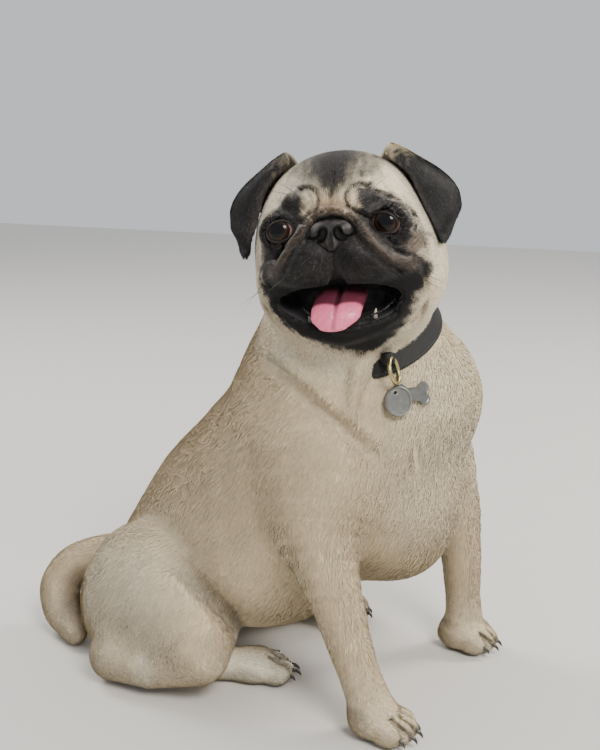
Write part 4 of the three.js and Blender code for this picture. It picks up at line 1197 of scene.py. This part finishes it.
BONE_LEVELS = [(0.02, 0.5), (0.86, 0.5), (0.9, 0.78), (0.97, 0.8), (1.0, 0.5), (1.0, -0.4), (0.96, -0.6),
               (0.02, -0.6)]
rim = bone_outline(120)
bone_points = [np.column_stack([rim * share, np.full(len(rim), height)]) for share, height in BONE_LEVELS]
bone_points = np.stack(bone_points, 1).reshape(-1, 3)
bone_at, bone_axes = on_chest(TAG_SIDE + 0.16, 220, 1.6)
piece("tag_bone_plate", bone_points @ bone_axes.T + bone_at, tube_quads(len(rim), len(BONE_LEVELS))[:, ::-1],
      steel, "tag_metal", "tag_bone", smooth_faces=False)
keeper_points, keeper_quads = torus(3.6, 1.3, 40, 12, 3.0)
keeper_points = keeper_points[:, [1, 2, 0]] * [1, 1, 0.9] + [0, RING_RADIUS, -3]
piece("collar_keeper", keeper_points @ ring_axes.T + ring_at, keeper_quads, webbing, "collar_strap")


# Claws and whiskers
def tapered(paths, sides):
    """Tapering tubes along paths of [x, y, z, radius] stations."""
    pts, quads = [], []
    for number, path in enumerate(paths):
        p = np.array(path, float)
        along = unit(np.gradient(p[:, :3], axis=0))
        first = unit(np.cross(along, [0.31, 0.2, 0.93]))
        own, own_quads = tube(p[:, :3], p[:, 3:], first, np.cross(along, first), sides)
        pts.append(own)
        quads.append(own_quads[:-sides] + number * len(own))
    return np.concatenate(pts), np.concatenate(quads)


horn = mottled("horn", 500, (0.006, 0.005, 0.005), (0.05, 0.04, 0.034), 3.0, Roughness=0.35, Coat_Weight=0.3)
claws = []
for at, turn in PAWS.values():
    axes = turned(0, 0, turn)
    for side in TOES:
        front = -17 if abs(side) > 9 else -22
        local = np.array([[side, front, 8.6, 1.6], [side * 1.02, front - 3.4, 7.6, 1.3],
                          [side * 1.03, front - 5.4, 5.8, 0.9], [side * 1.03, front - 6.2, 4, 0.3]])
        local[:, :3] = local[:, :3] @ axes.T + [at[0], at[1], 0]
        claws.append(eased(local, 9))
piece("claws", *tapered(claws, 10), horn, "nose_skin")

whisker_dark = mottled("whisker_dark", 90, (0.004, 0.004, 0.004), (0.03, 0.026, 0.024), Roughness=0.4)
WHISKER_ROOTS = [(20, -12, -20, 18), (26, -9, -17, 20), (24, -10, -25, 19), (32, -4, -23, 20),
                 (30, -4, -29, 17), (16, -13, -26, 15), (48, 12, -32, 22), (49, 14, -36, 20),
                 (27, -2, 21, 14), (24, 0, 23, 12)]
whiskers = []
for side in (-1, 1):
    for x, y, z, length in WHISKER_ROOTS:
        out = unit(np.array([0.75, -0.35, -0.35 if z < 0 else 0.6]) + rng.normal(0, 0.12, 3))
        t = np.linspace(0, 1, 7)[:, None]
        path = np.array([x, y, z]) - out * 2 + out * length * t - [0, 0, 0.12 * length] * t * t
        whiskers.append(np.column_stack([path * [side, 1, 1], 0.19 * (1 - 0.85 * t)]))
whisker_points, whisker_quads = tapered(whiskers, 4)
piece("whiskers", from_head(whisker_points), whisker_quads, whisker_dark, "ear_coat")


# An unwrap of the coat: six sides of each region, side by side in a square
def region_of(p):
    """Which region a point belongs to: head, trunk, the four legs and the tail."""
    x, y, z = p.T
    region = np.where(on_head(to_head(p)) > 0.5, 0, 1)
    low = smooth(150, 128, z) > 0.5
    region = np.where(low & (np.abs(x) > 46) & (y < 80), np.where(x < 0, 2, 3), region)
    region = np.where((z < 105) & (np.abs(x) > 40) & (y > 80), np.where(x < 0, 4, 5), region)
    region = np.where((y > 250) & (x < 20), 6, region)
    return np.where((z < 40) & (np.abs(x) < 40) & (y > 80) & (y < 250), 7, region)


REGION_BOX = np.array([  # lowest corner and size of each region
    [-150, -60, 220, 190], [-120, -40, 20, 300], [-120, -30, -5, 160], [30, -30, -5, 160],
    [-130, 70, -5, 200], [20, 60, -5, 200], [-90, 225, -5, 110], [-60, 60, -5, 210]], np.float32)
UV_ROW, UV_MARGIN = 7, 0.03  # cells in a row of the square, and the empty share at each edge of a cell


def uv_in_cell(cell, shares):
    """Places in numbered cells of the unwrap's square, by their shares of a cell."""
    at = np.column_stack([cell % UV_ROW, cell // UV_ROW])
    return (at + UV_MARGIN + (1 - 2 * UV_MARGIN) * shares) / UV_ROW


def unwrap(p, n, *_):
    """UV coordinates of points with normals: the side that faces the normal, in the point's region."""
    region = region_of(p)
    axis = np.abs(n).argmax(1)
    side = axis * 2 + (n[np.arange(len(n)), axis] > 0)
    local = (p - REGION_BOX[region, :3]) / REGION_BOX[region, 3:]
    u = np.where(axis == 0, local[:, 1], local[:, 0])
    v = np.where(axis == 2, local[:, 1], local[:, 2])
    return uv_in_cell(region * 6 + side, np.clip(np.column_stack([u, v]), 0, 1))


def store_uv(mesh, uv):
    """A UV map from one pair for each point."""
    layer = mesh.uv_layers.new(name="OFBake")
    corner = np.empty(len(mesh.loops), np.int32)
    mesh.loops.foreach_get("vertex_index", corner)
    layer.data.foreach_set("uv", uv[corner].astype(np.float32).ravel())


# Which way the hair lies
def directions(*parts):
    """Directions from their parts along x, y and z, where a part may be one number for all."""
    return np.column_stack(np.broadcast_arrays(*parts)).astype(np.float32)


def off_head(q):
    """Directions away from the nose, and down over the lip."""
    way = q - [0, -16, -6]
    way[:, 1] = np.maximum(way[:, 1], 0) * 0.6 + 8
    way[:, 2] -= 30 * smooth(-26, -44, q[:, 2]) * smooth(30, 10, q[:, 1])
    return unit(way) @ HEAD_AXES.T


def lie_of(p, n):
    """Unit directions along the skin."""
    x, y, z = p.T
    wide = np.abs(x)
    side = np.sign(x) * smooth(4, 30, wide)
    ripple = 0.12 * np.sin(x / 9) * smooth(60, 10, y)
    way = between(directions(0.25 * side + ripple, 0.45 + 0.3 * smooth(160, 60, z), -0.9),
                  directions(0.3 * side, 0.55, -0.8), smooth(180, 240, z))
    leg = smooth(150, 118, z) * smooth(44, 60, wide) * smooth(95, 75, y)
    way = between(way, directions(0, 0.12, -1), leg)
    haunch = directions(0 * z, 0.55 - 1.4 * smooth(60, 20, z), -0.8 + 0.5 * smooth(50, 15, z))
    way = between(way, haunch, smooth(125, 90, z) * smooth(80, 110, y) * smooth(36, 52, wide))
    way = between(way, directions(0, -1, -0.2), smooth(30, 18, z) * smooth(36, 44, wide))
    tail = np.array(TAIL, np.float32)
    beyond = y > 238
    if beyond.any():
        near = np.argmin(((p[beyond, None, :] - tail[None, :-1, :3]) ** 2).sum(2), 1)
        way[beyond] = unit((tail[1:, :3] - tail[:-1, :3])[near])
    q = to_head(p)
    way = between(unit(way), off_head(q), on_head(q))
    way = way - n * dots(way, n)[:, None]
    return way / np.maximum(np.linalg.norm(way, axis=1, keepdims=True), 1e-3)


def hair_size(p):
    """Length and half width of a hair at each root, mm."""
    length = 5.4 + 1.4 * smooth(40, 0, p[:, 1]) * smooth(120, 170, p[:, 2]) - 0.8 * on_head(to_head(p))
    length = length + (2.6 - length) * on_face(p, 44, 16)
    length = length + (3.4 - length) * low_on_legs(p, 70, 24)
    return length, 0.11 + 0.024 * length


def corner_triangles(faces):
    return np.concatenate([faces[:, [0, 1, 2]], faces[:, [0, 2, 3]]])


HAIR_SWING, HAIR_ROLL = 0.13, 0.16  # how far hairs turn at random, radians
COLOUR_BLUR = 0.6  # how far from its root a hair's colour is taken, mm
UV_REACH = 0.0015


def grow_fur(name, points, normals, triangles, weight, count, material, colour_of, depth_of, field, lie,
             size_of, uv_of, slot):
    """Thin hairs on triangles: each a kite from its root past a bent middle to its tip, at random places."""
    a, b, c = (points[triangles[:, k]] for k in range(3))
    area = np.linalg.norm(np.cross(b - a, c - a), axis=1) * weight
    pick = rng.choice(len(triangles), count, p=area / area.sum())
    s, t = rng.random(count), rng.random(count)
    over = s + t > 1
    s[over], t[over] = 1 - s[over], 1 - t[over]
    corners = triangles[pick]
    blend3 = np.column_stack([1 - s - t, s, t]).astype(np.float32)
    root = np.einsum("ik,ikj->ij", blend3, points[corners])
    normal = unit(np.einsum("ik,ikj->ij", blend3, normals[corners]))
    length, half = size_of(root)
    length = length * rng.uniform(0.7, 1.15, count)
    half = half * rng.uniform(0.75, 1.25, count)
    way = lie(root, normal)
    across = np.cross(normal, way)
    swing = rng.normal(0, HAIR_SWING, count) + 0.04 * wave(root, 17, 21)
    way = way * np.cos(swing)[:, None] + across * np.sin(swing)[:, None]
    across = np.cross(normal, way)
    depth = depth_of(root)
    top = depth * rng.uniform(0.6, 1.0, count)
    middle = root + way * (0.5 * length)[:, None] + normal * (0.6 * top)[:, None]
    tip = root + way * length[:, None] + normal * top[:, None]
    if field:
        middle += normal * np.clip(0.75 * top - field(middle), -3, 3)[:, None]
        tip += normal * np.clip(top - field(tip), -6, 6)[:, None]
    roll = rng.normal(0, HAIR_ROLL, count)
    edge = (across * np.cos(roll)[:, None] + normal * np.sin(roll)[:, None]) * half[:, None]
    verts = np.stack([root - normal * 0.3, middle - edge, tip, middle + edge], 1).astype(np.float32)
    verts[:, :, 2] = np.maximum(verts[:, :, 2], 0.05)
    faces = np.arange(count * 4, dtype=np.int32).reshape(-1, 4)[:, [0, 1, 2, 0, 2, 3]].reshape(-1, 3)
    colour = colour_of((root + rng.normal(0, COLOUR_BLUR, root.shape)).astype(np.float32), corners, blend3)
    uneven = 0.07 + 0.11 * smooth(5, 3, length)
    shade = np.clip(1 + uneven * rng.normal(size=count) + 0.03 * wave(root, 6, 23), 0.5, 1.5)
    pale = (rng.random(count) < 0.16) * rng.uniform(0.02, 0.10, count)  # single pale hairs among dark ones
    pale = pale * smooth(0.12, 0.04, colour.mean(1)) * smooth(0.004, 0.009, colour.mean(1))
    colour = colour * shade[:, None] + pale[:, None]
    order = np.argsort(root @ np.array([0.1, 0.2, 1.0], np.float32))
    root_to_tip_shade = np.array([0.86, 0.98, 1.05, 0.98], np.float32)  # root, sides and tip of a hair, with painted shade: darkest at the root, palest at the tip
    for number, part in enumerate(np.array_split(order, -(-count // HAIRS_IN_A_PIECE))):
        tint = (colour[part, None, :] * root_to_tip_shade[None, :, None]).reshape(-1, 3)
        mesh = piece(f"{name}_{number}", verts[part].reshape(-1, 3), faces[:len(part) * 2], material, slot,
                     tint=tint)
        kite_normal = np.repeat(normal[part] + way[part] * 0.2, 4, axis=0)
        outward = 0.2 * (edge[part] / half[part, None])
        kite_normal[1::4] -= outward
        kite_normal[3::4] += outward
        mesh.normals_split_custom_set_from_vertices(unit(kite_normal).astype(np.float32))
        place = uv_of(root[part], normal[part], corners[part], blend3[part])[:, None]
        place = place + np.array([[0, -1], [-1, 0], [0, 1], [1, 0]]) * UV_REACH
        store_uv(mesh, place.reshape(-1, 2))


hair = tinted("hair", "Noise", 1800, 0.12, 0.0002, 2.0, Roughness=0.62, Sheen_Weight=0.12,
              Sheen_Roughness=0.45, Anisotropic=0.3)
skin_normals = np.empty(len(points) * 3, np.float32)
skin_mesh.vertex_normals.foreach_get("vector", skin_normals)
skin_normals = skin_normals.reshape(-1, 3)
store_uv(skin_mesh, unwrap(points, skin_normals))
skin_tris = corner_triangles(faces)
mid_face = points[skin_tris].mean(1)
mid_in_head = to_head(mid_face)
head_here = on_head(mid_in_head)
density = 1 + 0.5 * head_here + 3.2 * on_face(mid_face, 44, 16) + 1.6 * low_on_legs(mid_face, 70, 24)
in_mouth = (mouth(mid_in_head) < 1.5) & (head_here > 0)
by_eye = (lid_opening(mid_in_head) < 1.2) & (head_here > 0.5)
density = np.where(in_mouth | by_eye | (mid_face[:, 2] <= 1), 0, density)
grow_fur("fur", points, skin_normals, skin_tris, density, FUR_COUNT, hair, coat_colour, fur_depth,
         skin_field, lie_of, hair_size, unwrap, "coat")


def mixed(values):
    """Values at a mesh's points, as a function that ends with a root's corners and their shares."""
    return lambda *given: np.einsum("ik,ikj->ij", given[-1], values[given[-2]])


# The ears' own short hair, with a square of the unwrap for each side of each ear
for name, side, tint, ear_points, ear_normals, ear_quads, ear_shares in ears:
    down_ear = np.array([26 * side, -19, -58]) @ HEAD_AXES.T / 66.3
    on_back = (np.arange(len(ear_shares)) >= len(ear_shares) // 2).astype(float)
    ear_uv = uv_in_cell((45 if side > 0 else 43) + on_back, ear_shares)

    def lie_on_ear(p, n, way=down_ear):
        along = way - n * (n @ way)[:, None]
        return along / np.maximum(np.linalg.norm(along, axis=1, keepdims=True), 1e-3)

    ear_tris = corner_triangles(ear_quads)
    grow_fur(f"ear_fur_{name}", from_head(ear_points), ear_normals @ HEAD_AXES.T, ear_tris,
             np.ones(len(ear_tris)), EAR_FUR_COUNT, hair, mixed(tint),
             lambda p: np.full(len(p), 0.9, np.float32), None, lie_on_ear,
             lambda p: (np.full(len(p), 3.6), 0.2), mixed(ear_uv), "ear_coat")


# Floor, lights and camera
def area_light(name, at, size, power, colour):
    data = bpy.data.lights.new(name, "AREA")
    data.shape, data.size, data.energy, data.color = "DISK", size, power, colour
    lamp = in_scene(name, data)
    lamp.location = at
    lamp.rotation_euler = (LIGHTS_AIM - Vector(at)).to_track_quat("-Z", "Y").to_euler()


FLOOR_HALF = 3  # metres
floor_corners = np.array([[-1, -1, 0], [1, -1, 0], [1, 1, 0], [-1, 1, 0]]) * FLOOR_HALF
floor_mesh = mesh_of("floor", floor_corners, [[0, 1, 2, 3]], False)
floor_mesh.materials.append(new_material("floor_paint", Base_Color=(0.72, 0.70, 0.66, 1), Roughness=0.7))
in_scene("floor", floor_mesh)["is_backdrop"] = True

world = bpy.data.worlds.new("studio")
world.use_nodes = True
background = world.node_tree.nodes["Background"]
background.inputs["Color"].default_value = (0.86, 0.88, 0.92, 1)
background.inputs["Strength"].default_value = 0.8
bpy.context.scene.world = world
LIGHTS_AIM = Vector((0, -0.02, 0.2))
area_light("key", (-1.2, -1.5, 1.7), 0.9, 52, (1, 0.97, 0.92))
area_light("side", (1.2, -1.1, 1.3), 0.7, 25, (1, 0.95, 0.86))
area_light("back", (0.3, 1.6, 1.6), 0.9, 24, (1, 0.97, 0.93))

# The photograph's viewpoint
LOOK = Vector((0.8645, 0.4592, -0.2036))
RIGHT = Vector((0.469, -0.883, 0))
UP = Vector((0.1798, 0.0955, 0.979))
camera_data = bpy.data.cameras.new("camera")
camera_data.sensor_width = 36
camera_data.lens = 57.7
camera = in_scene("camera", camera_data)
viewpoint = Matrix.Translation(Vector((-0.729, -0.4295, 0.386)))
camera.matrix_world = viewpoint @ Matrix((RIGHT, UP, -LOOK)).transposed().to_4x4()
bpy.context.scene.camera = camera

[[list(map(float, corner)) for corner in box] for box in (CAD_BOX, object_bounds())]
